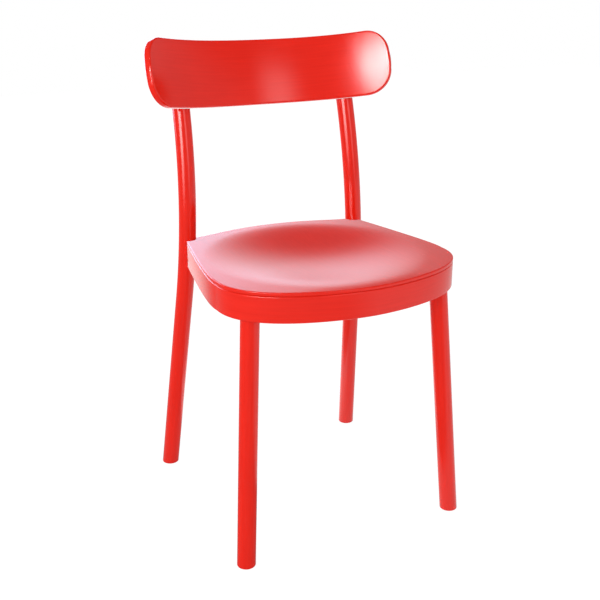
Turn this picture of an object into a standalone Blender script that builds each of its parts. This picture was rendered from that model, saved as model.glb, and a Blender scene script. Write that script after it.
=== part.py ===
"""Side chair: a dished seat on a deep bent hoop, four round legs and one curved backrest panel.

Metres, +Z up. The chair faces -Y, and left and right are as seen from its front, right being +X.
The origin is on the floor, in the middle of the chair's outline.
"""
from math import cos, pi, radians, sin, sqrt, tan

import bmesh
import bpy
from mathutils import Matrix, Vector

# Fits
GAP = 0.0003                    # air between two pieces that touch or are glued
OVERSHOOT = 0.010               # how far a drill or a cutter runs past the face where it enters

# Seat outline, right half, seen from above: nodes and the reach of the curve at each node
SEAT_FRONT_Y = -0.2270
SEAT_BACK_Y = 0.1720
SEAT_SIDE_X = 0.2071            # the side node, where the edge runs straight back
SEAT_SIDE_Y = -0.1014
SEAT_CORNER_X = 0.1686          # the rear corner, which the leg's notch cuts away
SEAT_CORNER_Y = 0.1458
FRONT_EDGE_REACH = 0.0510
FRONT_SIDE_REACH = 0.1056
SIDE_NODE_REACH = 0.0178
SIDE_CORNER_REACH = 0.2388
SIDE_CORNER_SLANT = radians(11.692)     # of the side edge at the corner, away from straight ahead
BACK_CORNER_REACH = 0.0350
BACK_CORNER_SLANT = radians(14.687)     # of the back edge at the corner, away from straight across
BACK_EDGE_REACH = 0.0931

# Seat heights and sections
SEAT_TOP = 0.4667
PANEL_THICKNESS = 0.0060
PANEL_TOP_ROUNDING = 0.0016
PANEL_BOTTOM_ROUNDING = 0.0008
RING_HEIGHT = 0.0428
RING_WIDTH = 0.0420
RING_OUTER_ROUNDING = 0.0016
RING_INNER_ROUNDING = 0.0020
DISH_DEPTH = 0.0197
DISH_MIDDLE_Y = -0.0252         # the dish's deepest point
DISH_BACK_RIM = 0.0163          # flat rim left behind the dish, at its sides and in front of it
DISH_SIDE_RIM = 0.0185
DISH_FRONT_RIM = 0.0097
DISH_FULLNESS = 1.68            # power of the dish's section: a lower one gives fuller walls
DISH_UNDER_FULLNESS = 1.20
DISH_UNDER_MARGIN = 0.0028      # the bulge under the dish stays this far inside the hoop
FRONT_ROLL_REACH = 0.0300       # how far behind the front edge the seat starts to roll down
FRONT_ROLL_DROP = 0.0012

# Legs
LEG_RADIUS = 0.0153
FOOT_ROUNDING = 0.0014
FRONT_LEG_SPACING = 0.3409      # between the front legs' middle lines, where they meet the hoop
FRONT_LEG_INSET = 0.0226        # from the hoop's edge to the leg's middle
FRONT_LEG_SPLAY = radians(3.668)        # sideways and forward lean of the front legs
FRONT_LEG_RAKE = radians(3.993)
TENON_RADIUS = 0.0090
TENON_LENGTH = 0.0320
REAR_LEG_IN = 0.0020            # the rear leg's middle, seen from the seat's rear corner
REAR_LEG_FORWARD = 0.0045
REAR_LEG_SPLAY = radians(3.805)
REAR_LEG_RAKE = radians(9.224)
REAR_POST_SPLAY = radians(0.940)
REAR_POST_RAKE = radians(17.307)        # backward lean of the leg above its bend and of the backrest
BEND_RADIUS = 0.7710
BEND_HEIGHT = 0.5383            # where the leg's two straight middle lines would meet

# Backrest
BACK_HEIGHT = 0.1152            # of the panel, along its lean
BACK_HALF_WIDTH = 0.2430        # measured round the curve
BACK_MIDDLE_Z = 0.7368
BACK_THICKNESS = 0.0120
BACK_CURVE_RADIUS = 0.3423      # of the front face
BACK_ROUNDING = 0.0030
BACK_TOP_CROWN = 0.0046
BACK_BOTTOM_CROWN = 0.0049
BACK_END_CROWN = 0.0017
BACK_TOP_CORNER_WIDTH = 0.0399
BACK_TOP_CORNER_HEIGHT = 0.0409
BACK_BOTTOM_CORNER_WIDTH = 0.0462
BACK_BOTTOM_CORNER_HEIGHT = 0.0431
BACK_LAP = 0.0050               # depth of the seat cut in each rear leg for the panel
POST_TOP_DROP = 0.0180          # from the panel's upper edge down to the end of the leg
POST_TOP_ROUNDING = 0.0030

# Bolts through the hoop into the rear legs
BOLT_RADIUS = 0.0030
BOLT_HEAD_RADIUS = 0.0050
BOLT_HEAD_HEIGHT = 0.0060
BOLT_SOCKET_RADIUS = 0.0026
BOLT_SOCKET_DEPTH = 0.0030
BOLT_SPACING = 0.0200
BOLT_ANGLE = radians(45)
BOLT_TIP_CLEARANCE = 0.0020
BOLT_WALL = 0.0350              # wood between the leg's notch and the flat for the washers
BOLT_FLAT_WIDTH = 0.0280
WASHER_RADIUS = 0.0075
WASHER_THICKNESS = 0.0016
INSERT_RADIUS = 0.0048
INSERT_LENGTH = 0.0150
INSERT_SUNK = 0.0008

# Screws
BACK_SCREW_SPACING = 0.0520
BACK_SCREW_SUNK = 0.0010
BACK_SCREW_COVER = 0.0035       # wood left between the screw's tip and the panel's front face
FRONT_SCREW_SUNK = 0.0020
FRONT_SCREW_BITE = 0.0050       # how far the screw runs past the tenon's middle
SCREW_RADIUS = 0.0022
SCREW_HEAD_RADIUS = 0.0045
SCREW_HEAD_HEIGHT = 0.0027
SCREW_DRIVE_RADIUS = 0.0014
SCREW_DRIVE_DEPTH = 0.0014
SCREW_POINT = 0.0040
SCREW_TIP_RADIUS = 0.0005

# Feet
GLIDE_RADIUS = 0.0100
GLIDE_HEIGHT = 0.0050
GLIDE_PROUD = 0.0010            # how far the glide stands out below the leg
GLIDE_ROUNDING = 0.0006
NAIL_RADIUS = 0.0012
NAIL_HEAD_RADIUS = 0.0034
NAIL_HEAD_HEIGHT = 0.0012
NAIL_SUNK = 0.0014
NAIL_LENGTH = 0.0200

# How finely curves are cut into facets
EDGE_STEPS = 11
BACK_EDGE_STEPS = 8
CORNER_STEPS = 8
BEND_STEPS = 14
LEG_SIDES = 24
ROUND_SIDES = 16
SCREW_SIDES = 12
SLICE_STEPS = 28
DISH_RINGS = 9
UNDER_RINGS = 6
SAW_ROUNDING_STEPS = 3
CENTRE_SHARE = 0.10             # size of the innermost ring of facets, as a share of the outline
SHARP_ANGLE = radians(35)       # edges steeper than this stay sharp when shaded
SLICE_TOLERANCE = 0.000001
TANGENT_STEP = 0.01             # step along a curve's parameter when its direction is taken
HALVINGS = 30                   # how often an interval is halved in the search for a place on a curve
QUARTER_ROUND_REACH = 0.5523    # handle of a cubic quarter circle, as a share of its radius

# Colour, roughness and metallic value of each finish
RED_LACQUER = ((0.80, 0.035, 0.020, 1.0), 0.28, 0.0)
ZINC_STEEL = ((0.62, 0.62, 0.60, 1.0), 0.35, 1.0)
YELLOW_ZINC = ((0.60, 0.46, 0.20, 1.0), 0.38, 1.0)
GREY_PLASTIC = ((0.30, 0.30, 0.30, 1.0), 0.55, 0.0)

SIDES = {"left": -1, "right": 1}
UP = Vector((0, 0, 1))
RING_TOP = SEAT_TOP - PANEL_THICKNESS - GAP
RING_BOTTOM = RING_TOP - RING_HEIGHT
RING_MIDDLE = (RING_TOP + RING_BOTTOM) / 2


# Scene and object helpers

def clear_scene():
    for old in list(bpy.data.objects):
        bpy.data.objects.remove(old, do_unlink=True)


def make_material(name, finish):
    colour, roughness, metallic = finish
    material = bpy.data.materials.new(name)
    material.use_nodes = True
    shader = material.node_tree.nodes["Principled BSDF"]
    shader.inputs["Base Color"].default_value = colour
    shader.inputs["Roughness"].default_value = roughness
    shader.inputs["Metallic"].default_value = metallic
    material.diffuse_color = colour
    return material


def make_object(name, shape, place, finish=None):
    """Turn a bmesh drawn in its own axes into an object at its place; without a finish it is a cutter."""
    bmesh.ops.recalc_face_normals(shape, faces=shape.faces)
    if shape.calc_volume(signed=True) < 0:
        bmesh.ops.reverse_faces(shape, faces=shape.faces)
    mesh = bpy.data.meshes.new(name)
    shape.to_mesh(mesh)
    shape.free()
    mesh.shade_smooth()
    mesh.set_sharp_from_angle(angle=SHARP_ANGLE)
    piece = bpy.data.objects.new(name, mesh)
    piece.location = place.to_translation()
    piece.rotation_euler = place.to_euler()
    bpy.context.scene.collection.objects.link(piece)
    if finish is None:
        piece.hide_render = True
        piece.display_type = "WIRE"
    else:
        mesh.materials.append(make_material(name, finish))
    return piece


def combine(target, tool, operation):
    """Cut the tool out of the target, or join it on, and keep the result in the target's mesh."""
    modifier = target.modifiers.new(operation.lower(), "BOOLEAN")
    modifier.operation = operation
    modifier.solver = "EXACT"
    modifier.object = tool
    with bpy.context.temp_override(object=target, active_object=target):
        bpy.ops.object.modifier_apply(modifier=modifier.name)


def cut(targets, tool):
    """Cut one tool out of every target, then throw the tool away."""
    for target in targets:
        combine(target, tool, "DIFFERENCE")
    bpy.data.objects.remove(tool, do_unlink=True)


def hang_together(pieces):
    """Hang the pieces on one empty at the chair's origin, so that the chair moves as a whole."""
    chair = bpy.data.objects.new("side_chair", None)
    bpy.context.scene.collection.objects.link(chair)
    for piece in pieces:
        piece.parent = chair


# Shape helpers

def loft(rings, closed=False):
    """Skin a list of equal rings; the ends are capped, or the last ring meets the first."""
    shape = bmesh.new()
    loops = [[shape.verts.new(point) for point in ring] for ring in rings]
    following = loops[1:] + loops[:1] if closed else loops[1:]
    for lower, upper in zip(loops, following):
        for i in range(len(lower)):
            shape.faces.new((lower[i - 1], lower[i], upper[i], upper[i - 1]))
    if not closed:
        shape.faces.new(loops[0])
        shape.faces.new(loops[-1])
    return shape


def turned(profile, sides=SCREW_SIDES, closed=False):
    """Turn (radius, height) steps about the Z axis."""
    rings = []
    for radius, height in profile:
        angles = [2 * pi * i / sides for i in range(sides)]
        rings.append([Vector((radius * cos(a), radius * sin(a), height)) for a in angles])
    return loft(rings, closed)


def aim(point, direction):
    """Frame at a point whose Z axis runs along the direction."""
    turn = Vector(direction).to_track_quat("Z", "Y").to_matrix().to_4x4()
    return Matrix.Translation(point) @ turn


def tube(path, radius):
    """Round bar along a path that keeps close to one plane."""
    rings = []
    for i, point in enumerate(path):
        tangent = (path[min(i + 1, len(path) - 1)] - path[max(i - 1, 0)]).normalized()
        across = tangent.cross(Vector((0, 1, 0))).normalized()
        ahead = tangent.cross(across)
        angles = [2 * pi * k / LEG_SIDES for k in range(LEG_SIDES)]
        rings.append([point + radius * (across * cos(a) + ahead * sin(a)) for a in angles])
    return loft(rings)


def saw(shape, place, point, outward, rounding=0.0):
    """Saw a shape that will stand at place off flat at a plane of the room, and round the sawn rim."""
    to_own = place.inverted()
    normal = to_own.to_3x3() @ outward
    everything = shape.verts[:] + shape.edges[:] + shape.faces[:]
    cut_parts = bmesh.ops.bisect_plane(shape, geom=everything, plane_co=to_own @ (point - outward * rounding),
                                       plane_no=normal, clear_outer=True)["geom_cut"]
    rim = [part for part in cut_parts if isinstance(part, bmesh.types.BMEdge)]
    end = bmesh.ops.edgeloop_fill(shape, edges=rim)["faces"]
    if rounding == 0:
        return
    if end[0].normal.dot(normal) < 0:
        end[0].normal_flip()
    turns = [pi / 2 * i / SAW_ROUNDING_STEPS for i in range(SAW_ROUNDING_STEPS + 1)]
    for before, after in zip(turns, turns[1:]):
        bmesh.ops.inset_region(shape, faces=end, use_even_offset=True,
                               thickness=rounding * (cos(before) - cos(after)),
                               depth=rounding * (sin(after) - sin(before)))


def cubic(start, start_handle, end_handle, end, t):
    """Point of a cubic curve."""
    u = 1 - t
    return start * u**3 + start_handle * 3 * u * u * t + end_handle * 3 * u * t * t + end * t**3


def curve(start, start_handle, end_handle, end, steps):
    """Points of a cubic curve from its start up to the step before its end."""
    return [cubic(start, start_handle, end_handle, end, i / steps) for i in range(steps)]


def mirrored_loop(half):
    """Close the right half of an outline, front to back, with its mirror image."""
    return half + [Vector((-point.x, point.y)) for point in reversed(half[1:-1])]


def inset(loop, distance):
    """Move an outline inwards, or outwards when the distance is negative."""
    moved = []
    for i, here in enumerate(loop):
        arriving = (here - loop[i - 1]).normalized().orthogonal()
        leaving = (loop[(i + 1) % len(loop)] - here).normalized().orthogonal()
        mean = (arriving + leaving).normalized()
        moved.append(here + mean * distance / mean.dot(arriving))
    return moved


def ray_to_loop(loop, start, direction):
    """Distance from a point to the nearest edge of an outline, along a direction."""
    reach = []
    for a, b in zip(loop, loop[1:] + loop[:1]):
        edge = b - a
        crossing = direction.cross(edge)
        if crossing == 0:
            continue
        share = (a - start).cross(direction) / crossing
        distance = (a - start).cross(edge) / crossing
        if 0 <= share <= 1 and distance > 0:
            reach.append(distance)
    return min(reach)


def rounded_rows(rounding, from_top):
    """Inset and drop of three rows that round an edge, from the flat face to the wall."""
    rows = [(rounding, 0.0), (rounding * (1 - sin(pi / 4)), rounding * (1 - cos(pi / 4))), (0.0, rounding)]
    return rows if from_top else rows[::-1]


# Seat outline and its dish

def front_edge():
    """Nodes of the front edge's right half, from the side node to the middle."""
    side = Vector((SEAT_SIDE_X, SEAT_SIDE_Y))
    front = Vector((0, SEAT_FRONT_Y))
    return side, side - Vector((0, FRONT_SIDE_REACH)), front + Vector((FRONT_EDGE_REACH, 0)), front


def seat_outline():
    """The seat's edge as one loop, from the front middle round the right side and back."""
    side, side_handle, front_handle, front = front_edge()
    corner = Vector((SEAT_CORNER_X, SEAT_CORNER_Y))
    back = Vector((0, SEAT_BACK_Y))
    along_side = Vector((sin(SIDE_CORNER_SLANT), -cos(SIDE_CORNER_SLANT)))
    along_back = Vector((-cos(BACK_CORNER_SLANT), -sin(BACK_CORNER_SLANT)))
    half = curve(front, front_handle, side_handle, side, EDGE_STEPS)
    half += curve(side, side + Vector((0, SIDE_NODE_REACH)),
                  corner + along_side * SIDE_CORNER_REACH, corner, EDGE_STEPS)
    half += curve(corner, corner + along_back * BACK_CORNER_REACH,
                  back + Vector((BACK_EDGE_REACH, 0)), back, BACK_EDGE_STEPS)
    return mirrored_loop(half + [back])


def opening_outline():
    """The hole inside the hoop, with a flat across each rear corner for the bolts."""
    front = Vector((0, SEAT_FRONT_Y + RING_WIDTH))
    side = Vector((SEAT_SIDE_X - RING_WIDTH, SEAT_SIDE_Y))
    back = Vector((0, SEAT_BACK_Y - RING_WIDTH))
    flat_middle = bolt_flat_point(1).to_2d()
    along_flat = Vector((-sin(BOLT_ANGLE), cos(BOLT_ANGLE))) * BOLT_FLAT_WIDTH / 2
    flat_side = flat_middle - along_flat
    flat_back = flat_middle + along_flat
    depth_share = (side.y - front.y) / (SEAT_SIDE_Y - SEAT_FRONT_Y)
    width_share = side.x / SEAT_SIDE_X
    third = (flat_side - side).length / 3
    half = curve(front, front + Vector((FRONT_EDGE_REACH * width_share, 0)),
                 side + Vector((0, -FRONT_SIDE_REACH * depth_share)), side, EDGE_STEPS)
    half += curve(side, side + Vector((0, third)),
                  flat_side + Vector((sin(SIDE_CORNER_SLANT), -cos(SIDE_CORNER_SLANT))) * third,
                  flat_side, EDGE_STEPS - 1)
    half += [flat_side]
    half += curve(flat_back, flat_back.lerp(back, 1 / 3) + Vector((0, (back.y - flat_back.y) / 3)),
                  Vector((flat_back.x / 2, back.y)), back, BACK_EDGE_STEPS)
    return mirrored_loop(half + [back])


def dish_drop(x, y, back_rim, side_rim, front_rim, fullness):
    """How far the dish lies below the rim at a point; it meets the rim without a step."""
    back_reach = SEAT_BACK_Y - back_rim - DISH_MIDDLE_Y
    front_reach = DISH_MIDDLE_Y - SEAT_FRONT_Y - front_rim
    across = x / (SEAT_SIDE_X - side_rim)
    along = (y - DISH_MIDDLE_Y) / (back_reach if y > DISH_MIDDLE_Y else front_reach)
    share = across**2 + along**2
    return DISH_DEPTH * (1 - share)**fullness if share < 1 else 0.0


def top_drop(x, y):
    """How far the panel's top lies below its highest level: the dish and the roll of the front edge."""
    into_roll = max(0.0, SEAT_FRONT_Y + FRONT_ROLL_REACH - y) / FRONT_ROLL_REACH
    dish = dish_drop(x, y, DISH_BACK_RIM, DISH_SIDE_RIM, DISH_FRONT_RIM, DISH_FULLNESS)
    return dish + FRONT_ROLL_DROP * into_roll**2


def under_drop(x, y):
    """How far the bulge under the dish hangs below the panel's flat underside."""
    rim = RING_WIDTH + DISH_UNDER_MARGIN
    return dish_drop(x, y, rim, rim, rim, DISH_UNDER_FULLNESS)


# Leg middle lines

def front_leg_stand(along):
    """Middle of a front leg at a place along the front edge's curve, and the outward direction there."""
    here = cubic(*front_edge(), along)
    tangent = (cubic(*front_edge(), along + TANGENT_STEP) - here).normalized()
    outward = tangent.orthogonal()
    return here - outward * FRONT_LEG_INSET, outward


def front_leg_socket(side):
    """Where a front leg's middle line meets the hoop's bottom, and the outward direction there."""
    low, high = 0.0, 1.0
    for _ in range(HALVINGS):
        along = (low + high) / 2
        middle, outward = front_leg_stand(along)
        if middle.x > FRONT_LEG_SPACING / 2:
            low = along
        else:
            high = along
    return Vector((side * middle.x, middle.y, RING_BOTTOM)), Vector((side * outward.x, outward.y, 0))


def front_leg_direction(side):
    return Vector((-side * tan(FRONT_LEG_SPLAY), tan(FRONT_LEG_RAKE), 1)).normalized()


def rear_leg_path(side):
    """Middle line of a rear leg: straight, bent on an arc, straight again."""
    lower = Vector((-tan(REAR_LEG_SPLAY), -tan(REAR_LEG_RAKE), 1)).normalized()
    upper = Vector((-tan(REAR_POST_SPLAY), tan(REAR_POST_RAKE), 1)).normalized()
    turn = lower.angle(upper)
    run = BEND_RADIUS * tan(turn / 2)
    start = UP * BEND_HEIGHT - lower * run
    end = UP * BEND_HEIGHT + upper * run
    inward = (upper - lower * lower.dot(upper)).normalized()
    path = [start - lower * (start.z + OVERSHOOT) / lower.z]
    for i in range(BEND_STEPS + 1):
        angle = turn * i / BEND_STEPS
        path.append(start + lower * BEND_RADIUS * sin(angle) + inward * BEND_RADIUS * (1 - cos(angle)))
    path.append(end + upper * (BACK_MIDDLE_Z + BACK_HEIGHT - end.z) / upper.z)
    at_seat = point_at_height(path, SEAT_TOP)
    shift = Vector((SEAT_CORNER_X - REAR_LEG_IN, SEAT_CORNER_Y - REAR_LEG_FORWARD, SEAT_TOP)) - at_seat
    return [Vector((side * (point.x + shift.x), point.y + shift.y, point.z)) for point in path]


def point_at_height(path, height):
    for a, b in zip(path, path[1:]):
        if a.z <= height <= b.z:
            return a.lerp(b, (height - a.z) / (b.z - a.z))
    return path[-1]


def bolt_direction(side):
    """Level direction of the bolts, from the inside of the hoop out to the leg."""
    return Vector((side * cos(BOLT_ANGLE), sin(BOLT_ANGLE), 0))


def bolt_flat_point(side):
    """Middle of the flat that the washers lie on."""
    leg = point_at_height(rear_leg_path(side), RING_MIDDLE)
    return leg - bolt_direction(side) * (LEG_RADIUS + BOLT_WALL)


# Backrest position, worked out from the legs that carry it

def back_place():
    """Place of the panel: the middle of its front face, X across, Y to the rear and Z up its lean."""
    turn = Matrix.Rotation(-REAR_POST_RAKE, 4, "X")
    leg = turn.inverted() @ point_at_height(rear_leg_path(1), BACK_MIDDLE_Z)
    leg_circle = BACK_CURVE_RADIUS + BACK_THICKNESS + LEG_RADIUS - BACK_LAP
    leg_depth = sqrt(leg_circle**2 - leg.x**2) - BACK_CURVE_RADIUS
    middle_depth = leg.y - leg_depth
    y = (middle_depth + BACK_MIDDLE_Z * sin(REAR_POST_RAKE)) / cos(REAR_POST_RAKE)
    return Matrix.Translation((0, y, BACK_MIDDLE_Z)) @ turn


def bent_point(along, height, depth):
    """Where bending takes a point of the flat blank; depth runs back from its front face."""
    angle = along / BACK_CURVE_RADIUS
    radius = BACK_CURVE_RADIUS + depth
    return Vector((radius * sin(angle), radius * cos(angle) - BACK_CURVE_RADIUS, height))


def back_outline():
    """Outline of the flat blank, as one loop from the bottom middle round the right end."""
    top = BACK_HEIGHT / 2
    end = BACK_HALF_WIDTH
    bottom_corner = Vector((end - BACK_BOTTOM_CORNER_WIDTH, -top))
    end_bottom = Vector((end, BACK_BOTTOM_CORNER_HEIGHT - top))
    end_top = Vector((end, top - BACK_TOP_CORNER_HEIGHT))
    top_corner = Vector((end - BACK_TOP_CORNER_WIDTH, top))
    bottom_middle = Vector((0, BACK_BOTTOM_CROWN - top))
    top_middle = Vector((0, top + BACK_TOP_CROWN))
    half = curve(bottom_middle, bottom_middle + Vector((bottom_corner.x / 3, 0)),
                 bottom_corner + Vector((-bottom_corner.x / 3, BACK_BOTTOM_CROWN / 3)),
                 bottom_corner, CORNER_STEPS)
    half += curve(bottom_corner, bottom_corner + Vector((BACK_BOTTOM_CORNER_WIDTH * QUARTER_ROUND_REACH, 0)),
                  end_bottom - Vector((0, BACK_BOTTOM_CORNER_HEIGHT * QUARTER_ROUND_REACH)),
                  end_bottom, CORNER_STEPS)
    half += curve(end_bottom, end_bottom.lerp(end_top, 1 / 3) + Vector((BACK_END_CROWN, 0)),
                  end_bottom.lerp(end_top, 2 / 3) + Vector((BACK_END_CROWN, 0)), end_top, CORNER_STEPS // 2)
    half += curve(end_top, end_top + Vector((0, BACK_TOP_CORNER_HEIGHT * QUARTER_ROUND_REACH)),
                  top_corner + Vector((BACK_TOP_CORNER_WIDTH * QUARTER_ROUND_REACH, 0)),
                  top_corner, CORNER_STEPS)
    half += curve(top_corner, top_corner + Vector((-top_corner.x / 3, BACK_TOP_CROWN / 3)),
                  top_middle + Vector((top_corner.x / 3, 0)), top_middle, CORNER_STEPS)
    return mirrored_loop(half + [top_middle])


def bent_panel(outline, front_depth, back_depth, rounding):
    """Cut a flat blank with rounded edges, slice it into upright staves and bend it."""
    rows = [(inward, front_depth + drop) for inward, drop in rounded_rows(rounding, from_top=True)]
    rows += [(inward, back_depth - drop) for inward, drop in rounded_rows(rounding, from_top=False)]
    loops = [[Vector((p.x, p.y, depth)) for p in inset(outline, inward)] for inward, depth in rows]
    blank = loft(loops)
    width = max(p.x for p in outline)
    for i in range(1, SLICE_STEPS):
        everything = blank.verts[:] + blank.edges[:] + blank.faces[:]
        place = Vector((width * (2 * i / SLICE_STEPS - 1), 0, 0))
        bmesh.ops.bisect_plane(blank, geom=everything, dist=SLICE_TOLERANCE,
                               plane_co=place, plane_no=(1, 0, 0))
    for vertex in blank.verts:
        vertex.co = bent_point(*vertex.co)
    return blank


# Fasteners

def screw_profile(length):
    return [(SCREW_DRIVE_RADIUS, SCREW_DRIVE_DEPTH), (SCREW_DRIVE_RADIUS, 0.0),
            (SCREW_HEAD_RADIUS, 0.0), (SCREW_RADIUS, SCREW_HEAD_HEIGHT),
            (SCREW_RADIUS, length - SCREW_POINT), (SCREW_TIP_RADIUS, length)]


def screw_hole_profile(length):
    """The screw's own shape with air round it, opened towards the driver."""
    return [(SCREW_HEAD_RADIUS + GAP, -OVERSHOOT), (SCREW_HEAD_RADIUS + GAP, 0.0),
            (SCREW_RADIUS + GAP, SCREW_HEAD_HEIGHT), (SCREW_RADIUS + GAP, length + GAP)]


def screw(name, place, length, hosts):
    """Drive a countersunk screw into its hosts."""
    cut(hosts, make_object(name + "_hole", turned(screw_hole_profile(length)), place))
    return make_object(name, turned(screw_profile(length)), place, ZINC_STEEL)


def bolt_profile(length):
    return [(BOLT_SOCKET_RADIUS, BOLT_SOCKET_DEPTH), (BOLT_SOCKET_RADIUS, 0.0),
            (BOLT_HEAD_RADIUS, 0.0), (BOLT_HEAD_RADIUS, BOLT_HEAD_HEIGHT),
            (BOLT_RADIUS, BOLT_HEAD_HEIGHT), (BOLT_RADIUS, BOLT_HEAD_HEIGHT + length)]


def sleeve_profile(inner, outer, length):
    return [(inner, 0.0), (outer, 0.0), (outer, length), (inner, length)]


# Pieces

def make_seat_panel():
    """Thin dished panel; its own origin lies in the plane of its top."""
    outline = seat_outline()
    middle = Vector((0, (SEAT_BACK_Y + SEAT_FRONT_Y) / 2))
    rings = []
    flat = inset(outline, PANEL_TOP_ROUNDING)
    for i in range(DISH_RINGS):
        share = CENTRE_SHARE + (1 - CENTRE_SHARE) * i / DISH_RINGS
        points = [middle.lerp(point, share) for point in flat]
        rings.append([Vector((p.x, p.y, -top_drop(p.x, p.y))) for p in points])
    for inward, drop in rounded_rows(PANEL_TOP_ROUNDING, from_top=True):
        rings.append([Vector((p.x, p.y, -top_drop(p.x, p.y) - drop)) for p in inset(outline, inward)])
    for inward, rise in rounded_rows(PANEL_BOTTOM_ROUNDING, from_top=False):
        rings.append([Vector((p.x, p.y, rise - PANEL_THICKNESS)) for p in inset(outline, inward)])
    under = opening_outline()
    for i in range(UNDER_RINGS, -1, -1):
        share = CENTRE_SHARE + (1 - CENTRE_SHARE) * i / UNDER_RINGS
        points = [middle.lerp(point, share) for point in under]
        rings.append([Vector((p.x, p.y, -PANEL_THICKNESS - under_drop(p.x, p.y))) for p in points])
    return make_object("seat_panel", loft(rings), Matrix.Translation(UP * SEAT_TOP), RED_LACQUER)


def make_seat_ring():
    """Deep bent hoop; its own origin lies in the plane of its bottom."""
    outline = seat_outline()
    opening = opening_outline()
    rings = []
    for inward, drop in rounded_rows(RING_OUTER_ROUNDING, from_top=True):
        rings.append([Vector((p.x, p.y, RING_HEIGHT - drop)) for p in inset(outline, inward)])
    for inward, rise in rounded_rows(RING_OUTER_ROUNDING, from_top=False):
        rings.append([Vector((p.x, p.y, rise)) for p in inset(outline, inward)])
    for inward, rise in rounded_rows(RING_INNER_ROUNDING, from_top=True):
        rings.append([Vector((p.x, p.y, rise)) for p in inset(opening, -inward)])
    for inward, drop in rounded_rows(RING_INNER_ROUNDING, from_top=False):
        rings.append([Vector((p.x, p.y, RING_HEIGHT - drop)) for p in inset(opening, -inward)])
    place = Matrix.Translation(UP * RING_BOTTOM)
    return make_object("seat_ring", loft(rings, closed=True), place, RED_LACQUER)


def make_front_leg(side_name, side, ring):
    """Turned leg with a tenon, and the socket that it fills in the hoop; its origin is its foot."""
    name = "front_leg_" + side_name
    socket, _ = front_leg_socket(side)
    direction = front_leg_direction(side)
    foot = socket - direction * (socket.z - GLIDE_PROUD) / direction.z
    place = aim(foot, direction)
    length = (socket - foot).length
    shape = turned([(LEG_RADIUS, -OVERSHOOT), (LEG_RADIUS, length + OVERSHOOT)], LEG_SIDES)
    saw(shape, place, foot, -UP, FOOT_ROUNDING)
    saw(shape, place, socket - UP * GAP, UP)
    leg = make_object(name, shape, place, RED_LACQUER)
    tenon = [(TENON_RADIUS, length - OVERSHOOT), (TENON_RADIUS, length + TENON_LENGTH)]
    tenon_piece = make_object(name + "_tenon", turned(tenon, ROUND_SIDES), place)
    combine(leg, tenon_piece, "UNION")
    bpy.data.objects.remove(tenon_piece, do_unlink=True)
    bore = [(TENON_RADIUS + GAP, length - OVERSHOOT), (TENON_RADIUS + GAP, length + TENON_LENGTH + GAP)]
    cut([ring], make_object(name + "_socket", turned(bore, ROUND_SIDES), place))
    add_glide("front_" + side_name, foot, leg)
    return leg


def make_rear_leg(side_name, side, hosts):
    """Bent leg and the notches that it stands in; its origin is its foot."""
    name = "rear_leg_" + side_name
    path = rear_leg_path(side)
    foot = point_at_height(path, GLIDE_PROUD)
    place = Matrix.Translation(foot)
    own_path = [point - foot for point in path]
    cut(hosts, make_object(name + "_notch", tube(own_path, LEG_RADIUS + GAP), place))
    shape = tube(own_path, LEG_RADIUS)
    saw(shape, place, foot, -UP, FOOT_ROUNDING)
    panel = back_place()
    post_top = panel @ (UP * (BACK_HEIGHT / 2 - POST_TOP_DROP))
    saw(shape, place, post_top, panel.to_3x3() @ UP, POST_TOP_ROUNDING)
    leg = make_object(name, shape, place, RED_LACQUER)
    add_glide("rear_" + side_name, foot, leg)
    return leg


def make_backrest(legs):
    """Bent panel, let into the front of both rear legs."""
    outline = back_outline()
    place = back_place()
    seat = bent_panel(inset(outline, -GAP), -BACK_THICKNESS, BACK_THICKNESS + GAP, GAP)
    cut(legs, make_object("backrest_seat", seat, place))
    panel = bent_panel(outline, 0.0, BACK_THICKNESS, BACK_ROUNDING)
    return make_object("backrest", panel, place, RED_LACQUER)


def add_rear_bolt(label, centre, flat, direction, leg, ring):
    """A bolt from a flat inside the hoop to the leg's middle, with its washer and its insert."""
    to_flat = (centre - flat).dot(direction)
    on_flat = centre - direction * to_flat
    insert_start = to_flat - LEG_RADIUS + INSERT_SUNK
    hole = [(BOLT_RADIUS + GAP, -OVERSHOOT), (BOLT_RADIUS + GAP, insert_start)]
    cut([ring], make_object(label + "_hole", turned(hole), aim(on_flat, direction)))
    insert_place = aim(on_flat + direction * insert_start, direction)
    bore = [(INSERT_RADIUS + GAP, -OVERSHOOT), (INSERT_RADIUS + GAP, INSERT_LENGTH + GAP)]
    cut([leg], make_object(label + "_bore", turned(bore), insert_place))
    insert = sleeve_profile(BOLT_RADIUS + GAP, INSERT_RADIUS, INSERT_LENGTH)
    make_object("leg_insert_" + label, turned(insert, closed=True), insert_place, YELLOW_ZINC)
    washer = sleeve_profile(BOLT_RADIUS + GAP, WASHER_RADIUS, WASHER_THICKNESS)
    washer_place = aim(on_flat - direction * (GAP + WASHER_THICKNESS), direction)
    make_object("bolt_washer_" + label, turned(washer, closed=True), washer_place, ZINC_STEEL)
    head_seat = 2 * GAP + WASHER_THICKNESS
    length = head_seat + insert_start + INSERT_LENGTH - BOLT_TIP_CLEARANCE
    bolt_place = aim(on_flat - direction * (head_seat + BOLT_HEAD_HEIGHT), direction)
    make_object("rear_bolt_" + label, turned(bolt_profile(length)), bolt_place, ZINC_STEEL)


def add_rear_bolts(side_name, side, leg, ring):
    """Two bolts, one above the other."""
    path = rear_leg_path(side)
    for level, rise in (("lower", -BOLT_SPACING / 2), ("upper", BOLT_SPACING / 2)):
        centre = point_at_height(path, RING_MIDDLE + rise)
        label = side_name + "_" + level
        add_rear_bolt(label, centre, bolt_flat_point(side), bolt_direction(side), leg, ring)


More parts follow.
